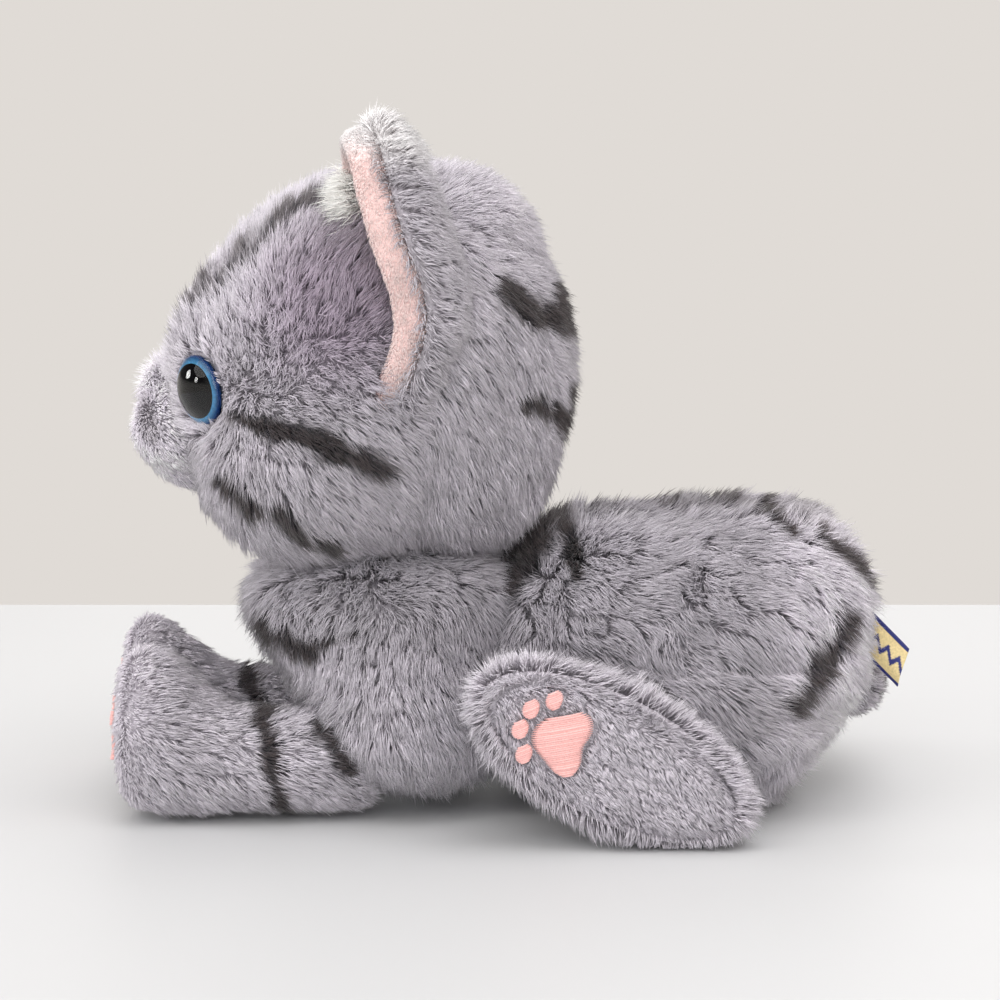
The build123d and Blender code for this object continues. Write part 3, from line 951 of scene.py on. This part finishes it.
def panel(name, skin, where, body, node, colours, comb, fibre=None, haired=None, **look):
    """One sewn panel: its cloth, the fibre fill behind it if that is named, and its pile."""
    cloth(name + "_cloth", skin, where, cloth_colour(colours), body, node)
    if fibre:
        filling(skin, body, fibre)
    pile(name + "_pile", skin, where if haired is None else haired, body, colours, comb, **look)


def make_head(head, muzzle):
    colours = tabby(head_stripes, head_tint_and_top_light)
    longer = lambda root: eye_trim(root) * (1 + 0.3 * ramp(root[:, 2], 86, 68) * ramp(root[:, 1], -40, -60))
    for k, (node, where, comb, length, lean) in enumerate(head_panels(head)):
        panel(node, head, where, "head", node, colours, comb, length=length, lean=lean, trim=longer, seed=200 + k)
    filling(head, "head", "head_stuffing")
    everywhere = np.ones(len(muzzle.faces), bool)
    plain = tabby(lambda root: 0.35 * bands(root, [((-92, 100), (-90, 91), 2.5, 3.5, 6)], 140))
    cloth("muzzle_cloth", muzzle, everywhere, cloth_colour(plain), "head", "muzzle_panel")

    def pale(root):
        low, middle, high = plain(root)
        return [(low + high) / 2, (middle + 2 * high) / 3, high]

    def swirl(root, normal):
        side = np.sign(root[:, 0])[:, None]
        return side * np.array((0.5, 0, 0)) * ramp(np.abs(root[:, :1]), 0, 7) + (0, 0.9, -0.55)
    on_nose = lambda root: (np.hypot(root[:, 0], (root[:, 2] - NOSE_HEIGHT) * 1.2) < 4.6) & (root[:, 1] < -85)
    nose_trim = lambda root: eye_trim(root) * np.where(on_nose(root), 0, 1) * (1 + 0.9 * ramp(root[:, 2], 98, 106))
    pile("muzzle_pile", muzzle, everywhere, "head", pale, swirl, length=3.6, lean=1.25, density=FUR_DENSITY * 1.4,
         slot="short_grey_pile", trim=nose_trim, lock=2.4, seed=220, flecks=0.03, bright=1.26, pull=0.3, ruffle=0.3,
         mottle=0.7)


def make_trunk(torso, rump):
    places = torso.centres

    def outward_and_down(root, normal):
        outward = unit((root - (0, -33, 0)) * (1, 1, 0))
        return outward * ramp(root[:, 2], 46, 60)[:, None] + (0, 0.1, -0.9)
    chest = (np.abs(places[:, 0]) < 13) & (places[:, 1] < -40)
    # Painted shade: the torso's fur is drawn at 1.05 of its colour low down and about a quarter darker from 30 to 50
    # mm up, where the head shades it.
    colours = tabby(lambda root: bands(root, TORSO_STRIPES, 150), lambda root: 1.05 - 0.27 * ramp(root[:, 2:], 30, 50))
    tuft = lambda root: 1 + 0.2 * ramp(root[:, 1], -52, -66) * ramp(root[:, 2], 36, 50)
    rows = [("chest_panel", chest, lambda root, normal: outward_and_down(root, normal) + (0, -0.3, 0))]
    for side, word in SIDES.items():
        own = ~chest & (places[:, 0] * side >= 0)
        rows.append((f"{word}_torso_panel", own, outward_and_down))
    for k, (node, where, comb) in enumerate(rows):
        panel(node, torso, where, "trunk", node, colours, comb, length=7.0, trim=tuft, lock=4.4, ruffle=0.5, pull=0.5,
              seed=240 + k)
    filling(torso, "trunk", "torso_stuffing")
    filling(rump, "trunk", "rump_stuffing")
    places = rump.centres
    spine = (np.abs(places[:, 0]) < SPINE_HALF_WIDTH) & (places[:, 2] > 50)
    belly = places[:, 2] < 6

    def ridge(root):
        """The dark stripes, and the browner pile along the spine."""
        near = (1 - ramp(np.abs(root[:, 0]), 9, 15)) * ramp(root[:, 2], 60, 70)
        return np.maximum(bands(root, RUMP_STRIPES, 160), near * np.clip(0.4 + 0.4 * noise(root, 7, 165), 0, 0.8))
    # Painted light and shade: the rump's fur is drawn at 0.84 of its colour at its front, by the torso, rising to 1.26
    # at its rear, where light from above and behind falls.
    colours = tabby(ridge, lambda root: 0.84 + 0.42 * ramp(root[:, 1], 50, 78)[:, None])
    rows = [("back_panel", spine, towards((0, 0.7, 0.25)), 7.6), ("belly_panel", belly, towards((0, 0.4, 0)), 3.0)]
    for side, word in SIDES.items():
        own = ~spine & ~belly & (places[:, 0] * side >= 0)
        rows.append((f"{word}_haunch_panel", own, towards((0.15 * side, 0.75, -0.75)), 7.8))
    for k, (node, where, comb, length) in enumerate(rows):
        panel(node, rump, where, "trunk", node, colours, comb, length=length, trim=floor_trim, lock=6.0, ruffle=0.75,
              pull=0.48, seed=260 + k)


def make_front_leg(skin, side):
    word = SIDES[side]
    body = f"{word}_front_leg"
    hinge = joint_place(body + "_lift")
    bend = ("trunk", body, hinge + (0, 12, 0), hinge + (0, -6, 0))
    places = skin.centres
    sole_centre = np.array((FRONT_LEG_X * side, 0, 22.5))
    offset = (places - sole_centre) / (12.5, 1, 15.5)
    sole = (np.hypot(offset[:, 0], offset[:, 2]) < 1) & (places[:, 1] < -90)

    def marks(root):
        on_left = lay_ahead(root, side, -1) + (0, FAR_BAND_AHEAD * (side == RIGHT), 0)
        return bands(on_left, LEG_STRIPES, 170)
    panel(body, skin, ~sole, bend, body + "_cover", tabby(marks, lambda root: 1.09), towards((0, 0.9, -0.5)),
          fibre=body + "_stuffing", length=5.4, lean=1.0, seed=280, pull=0.45,
          trim=lambda root: floor_trim(root) * (1 - 0.55 * ramp(-root[:, 1], 87, 94)))
    panel(body + "_sole", skin, sole, body, f"{word}_front_sole", unmarked, towards((0, 0, -1)), length=2.6, lean=1.2,
          lock=2.0, density=FUR_DENSITY * 1.3, slot="short_grey_pile", seed=285, flecks=0.05, bright=1.12)


def make_hind_foot(skin, side):
    word = SIDES[side]
    body = f"{word}_hind_foot"
    places = skin.centres
    sole = (sole_share(places) < 1) & (np.abs(places[:, 0]) > 58)

    def over_rim(root, normal):
        first, second = foot_axes()
        offset = root - FOOT_MIDDLE
        spread = unit(np.outer(offset @ first / 4, first) + np.outer(offset @ second, second))
        return 0.8 * spread + np.array((0.25 * side, 0.3, -0.25))
    panel(body, skin, ~sole, body, body + "_cover", unmarked, over_rim, length=5.6, lean=0.75, trim=floor_trim,
          seed=300, pull=0.3, lock=4.6, ruffle=0.85)
    pads_clear = lambda root: np.where(pad_cover(root, side), 0.25, 1.0)
    panel(body + "_sole", skin, sole, body, f"{word}_hind_sole", unmarked, towards((0, 0.75, -0.8)),
          fibre=body + "_stuffing", length=3.0, lean=1.2, lock=2.6, density=FUR_DENSITY * 1.4, slot="short_grey_pile",
          trim=pads_clear, seed=305, flecks=0.05, bright=1.06)


def make_tail(skin):
    everywhere = np.ones(len(skin.faces), bool)
    path, direction = curve_through(TAIL_PATH, 60)

    def comb(root, normal):
        return direction[nearest_on(path, root)]
    panel("tail", skin, everywhere, "tail", "tail_cover", tabby(tail_rings), comb, fibre="tail_stuffing", length=5.2,
          trim=floor_trim, seed=320)


# ---- ears


def ear_place(side, across, up, depth):
    """Points from an ear's own frame: across, up, and back from its rim."""
    curl = spline(EAR_CURL[:, 0], EAR_CURL[:, 1:], up)[:, 0]
    flare = 0.3 * np.maximum(-4 - up, 0)
    local = np.column_stack([across + flare, depth + curl, up])
    turn, lean, tilt = EAR_TURN, EAR_LEAN, EAR_TILT
    spin = np.array(((math.cos(turn), -math.sin(turn), 0), (math.sin(turn), math.cos(turn), 0), (0, 0, 1)))
    nod = np.array(((1, 0, 0), (0, math.cos(lean), -math.sin(lean)), (0, math.sin(lean), math.cos(lean))))
    roll = np.array(((math.cos(tilt), 0, math.sin(tilt)), (0, 1, 0), (-math.sin(tilt), 0, math.cos(tilt))))
    points = local @ (roll @ nod @ spin).T + EAR_CENTRE
    return points * (side, 1, 1)


def ear_shell(side, profile):
    """A closed shell from (share of the radius, depth) points, and the profile row that each triangle is in."""
    around = 120
    turn = np.linspace(0, 2 * np.pi, around, endpoint=False)
    fine, _ = curve_through([(share * 30, depth, 0) for share, depth in profile], 56)
    rows = []
    for wide, depth, _ in fine[1:-1]:
        share = wide / 30
        narrow = 1 - 0.22 * ramp(np.sin(turn) * share, 0.1, 1.0)
        across, up = EAR_RADII[0] * share * np.cos(turn) * narrow, EAR_RADII[1] * share * np.sin(turn)
        rows.append(ear_place(side, across, up, np.full(around, depth)))
    poles = [ear_place(side, *np.array([[0], [0], [fine[k, 1]]], float)) for k in (0, -1)]
    points = np.vstack([poles[0], *rows, poles[1]])
    faces = np.vstack(ring_faces(len(rows), around))[:, (0, 2, 1)]
    between = np.repeat(np.arange(1, len(rows)), 2 * around)
    row = np.concatenate([np.zeros(around), between, np.full(around, len(rows))])
    return Skin(points, faces if side == LEFT else faces[:, ::-1].copy()), row / len(rows)


def make_ear(side, head):
    word = SIDES[side]
    body = f"{word}_ear"
    hinge = joint_place(body + "_bend")
    origin, above, behind = ear_place(side, *np.array(((0, 0, 0), (0, 1, 0), (0, 0, 1.0))))
    up, backward = unit(above - origin), unit(behind - origin)
    out = unit(hinge - HEAD_CENTRE)
    bend = ("head", body, hinge - out * 5, hinge + out * 7)
    back, back_row = ear_shell(side, EAR_BACK)
    lining, lining_row = ear_shell(side, EAR_LINING)
    for skin in (back, lining):
        skin.bury(head)

    def grey(root):
        white = 0.85 * ramp(root[:, 2], 150, 162)[:, None]
        parts = [0.88 * part for part in (FUR_ROOT, FUR_MIDDLE, FUR_TIP)]
        return [part * (1 - white) + pale * white for part, pale in zip(parts, [WHITE_ROOT, WHITE_TIP, WHITE_TIP])]

    def comb(root, normal):
        spread = unit(root - origin - ((root - origin) @ backward)[:, None] * backward)
        return 0.7 * backward - 0.55 * up + 0.25 * spread
    panel(body + "_back", back, back_row >= 0, bend, body + "_back", grey, comb, haired=back_row > 0.42, length=4.6,
          lean=0.8, seed=340)

    def pink(root):
        # Painted shade: the lining is drawn dark red-brown in the fold at its bottom, where shade falls.
        fold = np.linalg.norm((root - (52 * side, -34.5, 109)) / (16, 2.6, 8), axis=1)
        dark = (1 - ramp(fold, 0.5, 1.2))[:, None] * np.array((0.45, 0.72, 0.66))
        white = ramp(root[:, 2], 154, 163)[:, None]
        low, high = PINK_ROOT * (1 - dark), PINK_TIP * (1 - dark)
        low, high = low * (1 - white) + WHITE_ROOT * white, high * (1 - white) + WHITE_TIP * white
        return [low, (low + high) / 2, high]
    cloth(body + "_lining_cloth", lining, lining_row >= 0, lambda points: pink(points)[0], bend, body + "_lining")
    pile(body + "_lining_pile", lining, lining_row < 0.64, bend, pink, towards((0, 0, -1)), length=1.3, lean=1.5,
         lock=1.6, density=FUR_DENSITY * 1.8, slot="pink_pile", radius=STRAND_RADIUS * 0.75, seed=350, flecks=0.0,
         ruffle=0.1, pull=0.1, mottle=0.15)
    make_tuft(side, bend)


def make_tuft(side, bend):
    """Long white hair at the ear's inner front edge."""
    word = SIDES[side]
    centre, half = box_mm(f"{word}_ear_tuft")
    centre = centre + (-2.5 * side, 0.5, -11)
    count = int(TUFT_HAIRS * QUICK_SHARE)

    def white(root):
        return [np.broadcast_to(part, root.shape) for part in (WHITE_TIP, TUFT_WHITE, TUFT_WHITE)]
    root = centre + rng.normal(size=(count, 3)) * (2.4, 1.0, 2.3) + (0, 1.5, 0)
    aim = unit(np.array((0.15 * side, -0.75, 0.0)) + 0.3 * rng.normal(size=(count, 3)) + 0.3 * unit(root - centre))
    size = TUFT_LENGTH + 1.8 * rng.normal(size=(count, 1))
    ring = root + aim * size * 0.5
    tip = ring + unit(aim + (0, -0.2, -0.35)) * size * 0.5
    middle, own = nearest_lock(root, 3.0, 5)
    tip += 0.5 * (middle + aim.mean(axis=0) * 8.5 - tip) * rng.random((count, 1))
    shades = shade(root, white, own, 360, 0.0, 0.3)
    thick = STRAND_RADIUS * (0.8 + 0.5 * rng.random(count))
    base = star(centre + (0, 1.5, 0), [(centre + (0, 1.5, 0), half * 0.8)], 4)
    obj = mesh_object(f"{word}_ear_tuft_cloth", base.points, base.faces, MATERIALS["cloth"],
                      np.broadcast_to(WHITE_ROOT, base.points.shape))
    ride(obj, bend)
    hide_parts(f"{word}_ear_tuft")
    place_pieces(f"{word}_ear_tuft_pile", root, ring, tip, thick, shades, bend)


# ---- thread work


def threads(name, lines, radius, colours, body, node):
    """Round threads along lines of points, as one piece with closed ends."""
    points, faces, shades = [], [], []
    sides = 6
    turn = np.linspace(0, 2 * np.pi, sides, endpoint=False)
    total = 0
    for line, colour in zip(lines, colours):
        path = np.array(line, float)
        direction = unit(np.gradient(path, axis=0))
        guide = np.array((0.31, 0.2, 0.93)) if abs(direction[0][2]) < 0.8 else np.array((0.93, 0.2, 0.31))
        side = unit(np.cross(direction, guide))
        other = np.cross(direction, side)
        size = np.full(len(path), radius)
        size[[0, -1]] *= 0.35
        rings = [p + r * (np.outer(np.cos(turn), a) + np.outer(np.sin(turn), b))
                 for p, r, a, b in zip(path, size, side, other)]
        points += [path[:1], np.vstack(rings), path[-1:]]
        faces.append(np.vstack(ring_faces(len(path), sides)) + total)
        total += len(path) * sides + 2
        shades.append(np.broadcast_to(colour, (len(path) * sides + 2, 3)))
    obj = mesh_object(name, np.vstack(points), np.vstack(faces), MATERIALS["thread"], np.vstack(shades))
    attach(obj, body)
    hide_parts(node)


def satin(centre, across, up, out, outline, direction, spacing, height):
    """Threads laid side by side over a shape. outline gives the shape's radius for an angle."""
    heading = np.array((math.cos(direction), math.sin(direction)))
    beside = np.array((-heading[1], heading[0]))
    angles = np.linspace(0, 2 * np.pi, 240, endpoint=False)
    edge = np.column_stack([np.cos(angles), np.sin(angles)]) * outline(angles)[:, None]
    lines = []
    offsets = edge @ beside
    for offset in np.arange(offsets.min() + spacing * 0.6, offsets.max() - spacing * 0.3, spacing):
        crossing = np.flatnonzero((offsets - offset) * (np.roll(offsets, -1) - offset) <= 0)
        if len(crossing) < 2:
            continue
        reaches = np.sort(edge[crossing] @ heading)
        low, high = reaches[0] - 0.15, reaches[-1] + 0.15
        share = np.linspace(0, 1, 9)
        flat = np.outer(low + (high - low) * share, heading) + offset * beside
        lift = height * (np.sin(np.pi * np.clip(share, 0.0, 1.0)) ** 0.45) * (0.9 + 0.2 * rng.random()) - 0.5
        lines.append(centre + np.outer(flat[:, 0], across) + np.outer(flat[:, 1], up) + np.outer(lift, out))
    return lines


def paw_outline(size, turn=0.0):
    """The rounded triangle of a main pad, its point towards the toes."""
    def outline(angles):
        corner = (0.16 - 0.06 * np.sin(angles)) * np.cos(3 * (angles - np.pi / 2 - turn))
        return size * (1 + corner) * (1 - 0.1 * np.sin(angles) ** 2)
    return outline


def toe_outline(size):
    return lambda angles: size * (1 + 0.12 * np.cos(2 * angles))


def foot_pad_frame(side):
    """Centre and axes of the hind foot's embroidery: across, towards the toes, and out."""
    first, second = foot_axes()
    centre = foot_point(SOLE_X, *(np.array([shift]) for shift in FOOT_PAD_OFFSET))[0]
    flip = np.array((side, 1, 1))
    return centre * flip, second * flip, first * flip, np.array((side, 0, 0))


def pad_cover(root, side):
    """Whether the hind foot's embroidery covers a root."""
    centre, across, up, _ = foot_pad_frame(side)
    flat = np.column_stack([(root - centre) @ across, (root - centre) @ up])
    angles = np.arctan2(flat[:, 1], flat[:, 0])
    cover = np.hypot(flat[:, 0], flat[:, 1]) < paw_outline(HIND_PAD_SIZE)(angles) + 0.2
    for x, y in HIND_TOES:
        cover |= np.hypot(flat[:, 0] - x, flat[:, 1] - y) < HIND_TOE_SIZE + 0.3
    return cover


def thread_shades(colour, low, spread, lines):
    """A shade of its own for each thread."""
    return [colour * (low + spread * rng.random()) for _ in lines]


def make_pads(side):
    """The main pad and the toes of the hind foot's sole and of the front paw's, in satin stitch."""
    word = SIDES[side]
    hind, *hind_axes = foot_pad_frame(side)
    front = lay_ahead(np.array([(FRONT_LEG_X * side, FRONT_LEG[-1][0] + 1.0, FRONT_PAD_HEIGHT)]), side)[0]
    front_axes = np.array((1.0, 0, 0)), np.array((0, 0, 1.0)), np.array((0, -1.0, 0))
    hind_pad, hind_toe = paw_outline(HIND_PAD_SIZE, 0.16), toe_outline(HIND_TOE_SIZE)
    for limb, body, centre, axes, pad, pad_turn, pad_height, toe, toes, toe_turn, toe_height in (
        ("hind", "hind_foot", hind - hind_axes[2] * 0.6, hind_axes, hind_pad, -52, 1.7, hind_toe, HIND_TOES, -40, 1.2),
        ("front", "front_leg", front, front_axes, paw_outline(6.0), 8, 1.8, toe_outline(1.9), FRONT_TOES, 15, 1.3),
    ):
        for part, node, radius, places, outline, turn, spacing, height in (
            ("pad", "pad", 0.3, [(0, 0)], pad, pad_turn, 0.46, pad_height),
            ("toe", "toe_pads", 0.29, toes, toe, toe_turn, 0.42, toe_height),
        ):
            lines = []
            for x, y in places:
                place = centre + x * axes[0] + y * axes[1]
                lines += satin(place, *axes, outline, math.radians(turn), spacing, height)
            threads(f"{word}_{limb}_{part}_stitching", lines, radius, thread_shades(THREAD_PINK, 0.92, 0.14, lines),
                    f"{word}_{body}", f"{word}_{limb}_{node}")


def make_nose(muzzle):
    centre = np.array((0, muzzle.points[:, 1].min() - 0.4, NOSE_HEIGHT))
    across, up, out = np.array((1.0, 0, 0)), np.array((0, 0.35, 0.94)), np.array((0, -0.94, 0.35))
    outline = lambda angles: 4.6 * (1 - 0.2 * np.abs(np.sin(angles))) * (1 + 0.1 * np.cos(3 * (angles + np.pi / 2)))
    lines = satin(centre, across, up, out, outline, math.radians(90), 0.44, 1.7)
    threads("nose_stitching", lines, 0.3, thread_shades(THREAD_TAN, 0.9, 0.2, lines), "head", "nose")
    tree = muzzle.tree()
    branches = [[(0, 93.2), (0, 91), (0, 88.5), (0, 86.4)]]
    branches += [[(0, 86.4), (2.2 * side, 85.2), (4.8 * side, 85.0), (7.2 * side, 86.2)] for side in SIDES]
    lines = []
    for branch in branches:
        fine, _ = curve_through([(x, 0, z) for x, z in branch], 12)
        line = []
        for x, _, z in fine:
            place, normal, _, _ = tree.ray_cast(Vector((x, -140, z)), Vector((0, 1, 0)))
            line.append(np.array(place) + np.array((0, -1.6, 0)))
        lines.append(line)
    threads("mouth_thread", lines, 0.42, [THREAD_BROWN] * len(lines), "head", "mouth_stitching")


def make_neck_thread():
    """Ladder stitches round the neck: one thread that climbs in and out of the fold."""
    turn = np.linspace(0, 2 * np.pi, 420)
    radius = NECK_THREAD_RADIUS + 0.5 * np.cos(NECK_STITCHES * turn)
    line = np.column_stack([radius * np.cos(turn), NECK[1] + radius * np.sin(turn),
                            NECK[2] + 0.9 * np.sin(NECK_STITCHES * turn)])
    threads("neck_ladder_stitch", [line], 0.4, [THREAD_GREY], "neck", "neck_stitching")


# ---- eyes


def turned(profile, centre, axis, around=72):
    """A closed form turned round an axis from (radius, height) points; it starts and ends on the axis."""
    side = unit(np.cross(axis, (0, 0, 1.0)))
    over = np.cross(side, axis)
    turn = np.linspace(0, 2 * np.pi, around, endpoint=False)
    points = [centre + profile[0][1] * axis]
    for radius, height in profile[1:-1]:
        points += list(centre + height * axis + radius * (np.outer(np.cos(turn), side) + np.outer(np.sin(turn), over)))
    points.append(centre + profile[-1][1] * axis)
    return outward(np.array(points), np.vstack(ring_faces(len(profile) - 2, around)))


def make_eye(side):
    word = SIDES[side]
    axis = EYE_OUT * (side, 1, 1)
    centre = EYE_CENTRE * (side, 1, 1) + axis * 0.5
    dome = (EYE_RADIUS ** 2 + EYE_DOME ** 2) / (2 * EYE_DOME)
    limit = math.asin((EYE_RADIUS - 0.1) / dome)
    cap = [(dome * math.sin(t), 0.5 + EYE_DOME - dome * (1 - math.cos(t))) for t in np.linspace(0, limit, 30)]
    flat = (0, 0.3, 0.6, 0.9, 0.98)
    under = [(EYE_RADIUS * s, -0.9) for s in flat] + [(EYE_RADIUS, -0.7), (EYE_RADIUS, 0.3)]
    lens = turned(under + cap[::-1], centre, axis)
    rim = EYE_RADIUS - 0.2
    disc = [(0, 0.3)] + [(rim * s, 0.3) for s in np.linspace(0.08, 0.99, 24)]
    iris = turned(disc + [(rim, 0.2), (rim, -0.4), (rim - 0.3, -0.6), (0, -0.6)], centre, axis)
    pupil = [(PUPIL_RADIUS * s, 0.42) for s in flat] + [(PUPIL_RADIUS, 0.36), (PUPIL_RADIUS, -0.3)]
    stem = turned(pupil + [(SHANK_RADIUS, -0.5), (SHANK_RADIUS, -SHANK_LENGTH), (0, -SHANK_LENGTH)], centre, axis)
    radial = from_eye(iris.points, side)[1] / EYE_RADIUS
    share = ramp(radial, 0.72, 1.0)[:, None]
    fibre = 1 + 0.18 * noise(unit(iris.points - centre) * 40, 3.2, 77)[:, None]
    painted = np.clip((IRIS_INNER * (1 - share) + IRIS_OUTER * share) * fibre, 0, 1)
    for name, skin, look, node, slot, colours in (
        ("eye_dome", lens, "lens", "eye_lens", "clear_acrylic", None),
        ("eye_iris_disc", iris, "iris", "eye_iris", "blue_plastic", painted),
        ("eye_pupil", stem, "pupil", "eye_shank", "black_plastic", None),
    ):
        colour = colours if colours is not None else np.broadcast_to(srgb(12, 12, 15), skin.points.shape)
        obj = mesh_object(f"{word}_{name}", skin.points, skin.faces, MATERIALS[look], colour)
        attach(obj, "head")
        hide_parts(f"{word}_{node}")


# ---- label


def make_label():
    """A folded woven ribbon sewn into the rear seam; navy edges on cream, with a plain woven zigzag."""
    centre, _ = box_mm("label")
    hinge = joint_place("label_flap")
    along = unit(np.array(joint("label_flap")["axis"], float))
    out = unit((centre - hinge) - ((centre - hinge) @ along) * along) - 0.45 * along
    face = unit(np.cross(out, along))
    hinge = hinge + (0, -2.5, -0.5)
    rows, columns = 90, 60
    share = np.repeat(np.linspace(-1, 1, rows), columns)     # along the ribbon, 0 at its fold
    v = np.tile(np.arange(columns) / (columns - 1) * 2 - 1, rows)
    gap = 0.45 * np.sign(share) * np.sqrt(np.clip(np.abs(share) * 6, 0, 1))
    far = LABEL_DEPTH - np.abs(share) * (LABEL_DEPTH + LABEL_SEAM)
    height = far / LABEL_DEPTH
    wave = 0.7 * np.sin(v * 2.1 + 0.4) * height - 1.6 * np.maximum(v, 0) ** 2 * np.maximum(height, 0)
    sideways = v * LABEL_WIDTH / 2 + 0.8 * height
    grid = hinge + np.outer(far, out) - np.outer(sideways, along) + np.outer(gap + wave, face)
    zigzag = np.abs((height * 3 % 1) * 2 - 1) * 0.5 - 0.25
    navy = (np.abs(v) > 0.8) | (np.abs(v - zigzag) < 0.16)
    index = np.arange(rows * columns).reshape(rows, columns)
    corners = (index[:-1, :-1], index[1:, :-1], index[1:, 1:], index[:-1, 1:])
    quads = np.column_stack([corner.ravel() for corner in corners])
    shades = np.where(navy[:, None], RIBBON_NAVY, RIBBON_CREAM)
    obj = mesh_object("woven_label", grid, quads, MATERIALS["ribbon"], shades)
    solid = obj.modifiers.new("ribbon", "SOLIDIFY")
    solid.thickness = LABEL_THICKNESS * MM
    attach(obj, "label")
    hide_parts("label")


# ---- what stays from CAD


def dress_cad_nodes():
    """The pellet bag and the washers inside the toy keep their CAD shapes and get real materials."""
    looks = {"pellet_bag": "pellets", "washer": "washer"}
    for name, obj in frame["nodes"].items():
        for word, look in looks.items():
            if word in name:
                obj.data.materials.clear()
                obj.data.materials.append(MATERIALS[look])


# ---- studio


CAMERA_LENS = 89.3
CAMERA_AIM = (0, -0.0055, 0.0741)
CAMERA_DISTANCE = 0.62
CAMERA_RISE = math.radians(6)
LIGHTS = [                   # name, place and the height it points at in metres, size, power, colour
    ("window", (0.75, -1.1, 1.3), 0.06, 1.7, 11, (1.0, 0.98, 0.96)),
    ("far_fill", (-1.4, 0.2, 0.6), 0.06, 1.4, 5, (0.98, 0.98, 1.0)),
    ("lamp_1", (-0.15, -1.6, 0.56), 0.1, 0.42, 6, (1.0, 1.0, 1.0)),
    ("lamp_2", (0.7, -1.5, 0.44), 0.1, 0.28, 2.6, (1.0, 1.0, 1.0)),
    ("ceiling", (0.4, 0.4, 1.5), 0.06, 1.6, 13, (0.98, 0.98, 1.0)),
    ("fill", (1.5, 0.0, 0.5), 0.06, 1.2, 10, (0.96, 0.97, 1.0)),
]


def area_light(name, place, aim_height, size, power, colour):
    data = bpy.data.lights.new(name, "AREA")
    data.shape = "DISK"
    data.size = size
    data.energy = power
    data.color = colour
    obj = bpy.data.objects.new(name, data)
    bpy.context.scene.collection.objects.link(obj)
    obj.location = place
    obj.rotation_euler = (Vector((0, 0, aim_height)) - Vector(place)).to_track_quat("-Z", "Y").to_euler()
    obj.visible_camera = False


def light_room(tree):
    """Pale walls all round, and a darker room in front of the cat, above the table, which its eyes reflect."""
    links = tree.links
    place, split = add_node(tree, "TexCoord"), add_node(tree, "SeparateXYZ")
    both = add_node(tree, "Math", {"operation": "MULTIPLY"})
    mix = add_node(tree, "Mix", {"data_type": "RGBA"}, A=(*WALL, 1), B=(*DARK_ROOM, 1))
    links.new(place.outputs["Generated"], split.inputs["Vector"])
    for k, (axis, start, end) in enumerate((("Y", -0.35, -0.75), ("Z", 0.0, 0.15))):
        share = add_node(tree, "MapRange", {"interpolation_type": "SMOOTHSTEP"}, From_Min=start, From_Max=end)
        links.new(split.outputs[axis], share.inputs["Value"])
        links.new(share.outputs["Result"], both.inputs[k])
    links.new(both.outputs["Value"], mix.inputs["Factor"])
    links.new(mix.outputs["Result"], tree.nodes["Background"].inputs["Color"])


def studio():
    scene = bpy.context.scene
    world = bpy.data.worlds.new("studio")
    world.use_nodes = True
    light_room(world.node_tree)
    scene.world = world
    scene.view_settings.view_transform = "Standard"
    for light in LIGHTS:
        area_light(*light)
    camera = bpy.data.cameras.new("camera")
    camera.lens = CAMERA_LENS
    camera.sensor_width = 36.0
    view = bpy.data.objects.new("camera", camera)
    scene.collection.objects.link(view)
    target = Vector(CAMERA_AIM)
    view.location = target + CAMERA_DISTANCE * Vector((math.cos(CAMERA_RISE), 0, math.sin(CAMERA_RISE)))
    view.rotation_euler = (target - view.location).to_track_quat("-Z", "Y").to_euler()
    scene.camera = view


def floor():
    """A pale table top whose far edge is a third of a metre behind the cat."""
    far, near, side, drop = -0.322, 0.42, 0.5, 0.01
    shape = bmesh.new()
    corners = [shape.verts.new((x, y, 0)) for x, y in ((far, -side), (near, -side), (near, side), (far, side))]
    top = shape.faces.new(corners)
    walls = bmesh.ops.extrude_face_region(shape, geom=[top])
    lower = [v for v in walls["geom"] if isinstance(v, bmesh.types.BMVert)]
    bmesh.ops.translate(shape, vec=(0, 0, -drop), verts=lower)
    bmesh.ops.recalc_face_normals(shape, faces=shape.faces)
    mesh = bpy.data.meshes.new("table_top")
    shape.to_mesh(mesh)
    shape.free()
    finish_mesh("table_top", mesh, new_material("table_top", Base_Color=(*TABLE, 1), Roughness=0.55))


# ---- put together


def build():
    make_materials()
    head, muzzle = head_skin(), muzzle_skin()
    torso, rump = torso_skin(), rump_skin()
    leg, foot, tail = front_leg_skin(), foot_skin(), tail_skin()
    other_leg, other_foot = leg.mirror(), foot.mirror()
    other_leg.points = lay_ahead(other_leg.points, RIGHT)
    other_leg.update()
    legs, feet = {LEFT: leg, RIGHT: other_leg}, {LEFT: foot, RIGHT: other_foot}
    head.bury(muzzle, torso)
    muzzle.bury(head)
    torso.bury(head, rump, leg, other_leg)
    rump.bury(torso, foot, other_foot, tail)
    for side in (LEFT, RIGHT):
        legs[side].bury(torso)
        feet[side].bury(rump, torso)
    tail.bury(rump)
    studio()
    floor()
    make_head(head, muzzle)
    make_trunk(torso, rump)
    for side in (LEFT, RIGHT):
        make_front_leg(legs[side], side)
        make_hind_foot(feet[side], side)
        make_ear(side, head)
        make_pads(side)
        make_eye(side)
    make_tail(tail)
    make_nose(muzzle)
    make_neck_thread()
    make_label()
    dress_cad_nodes()


build()
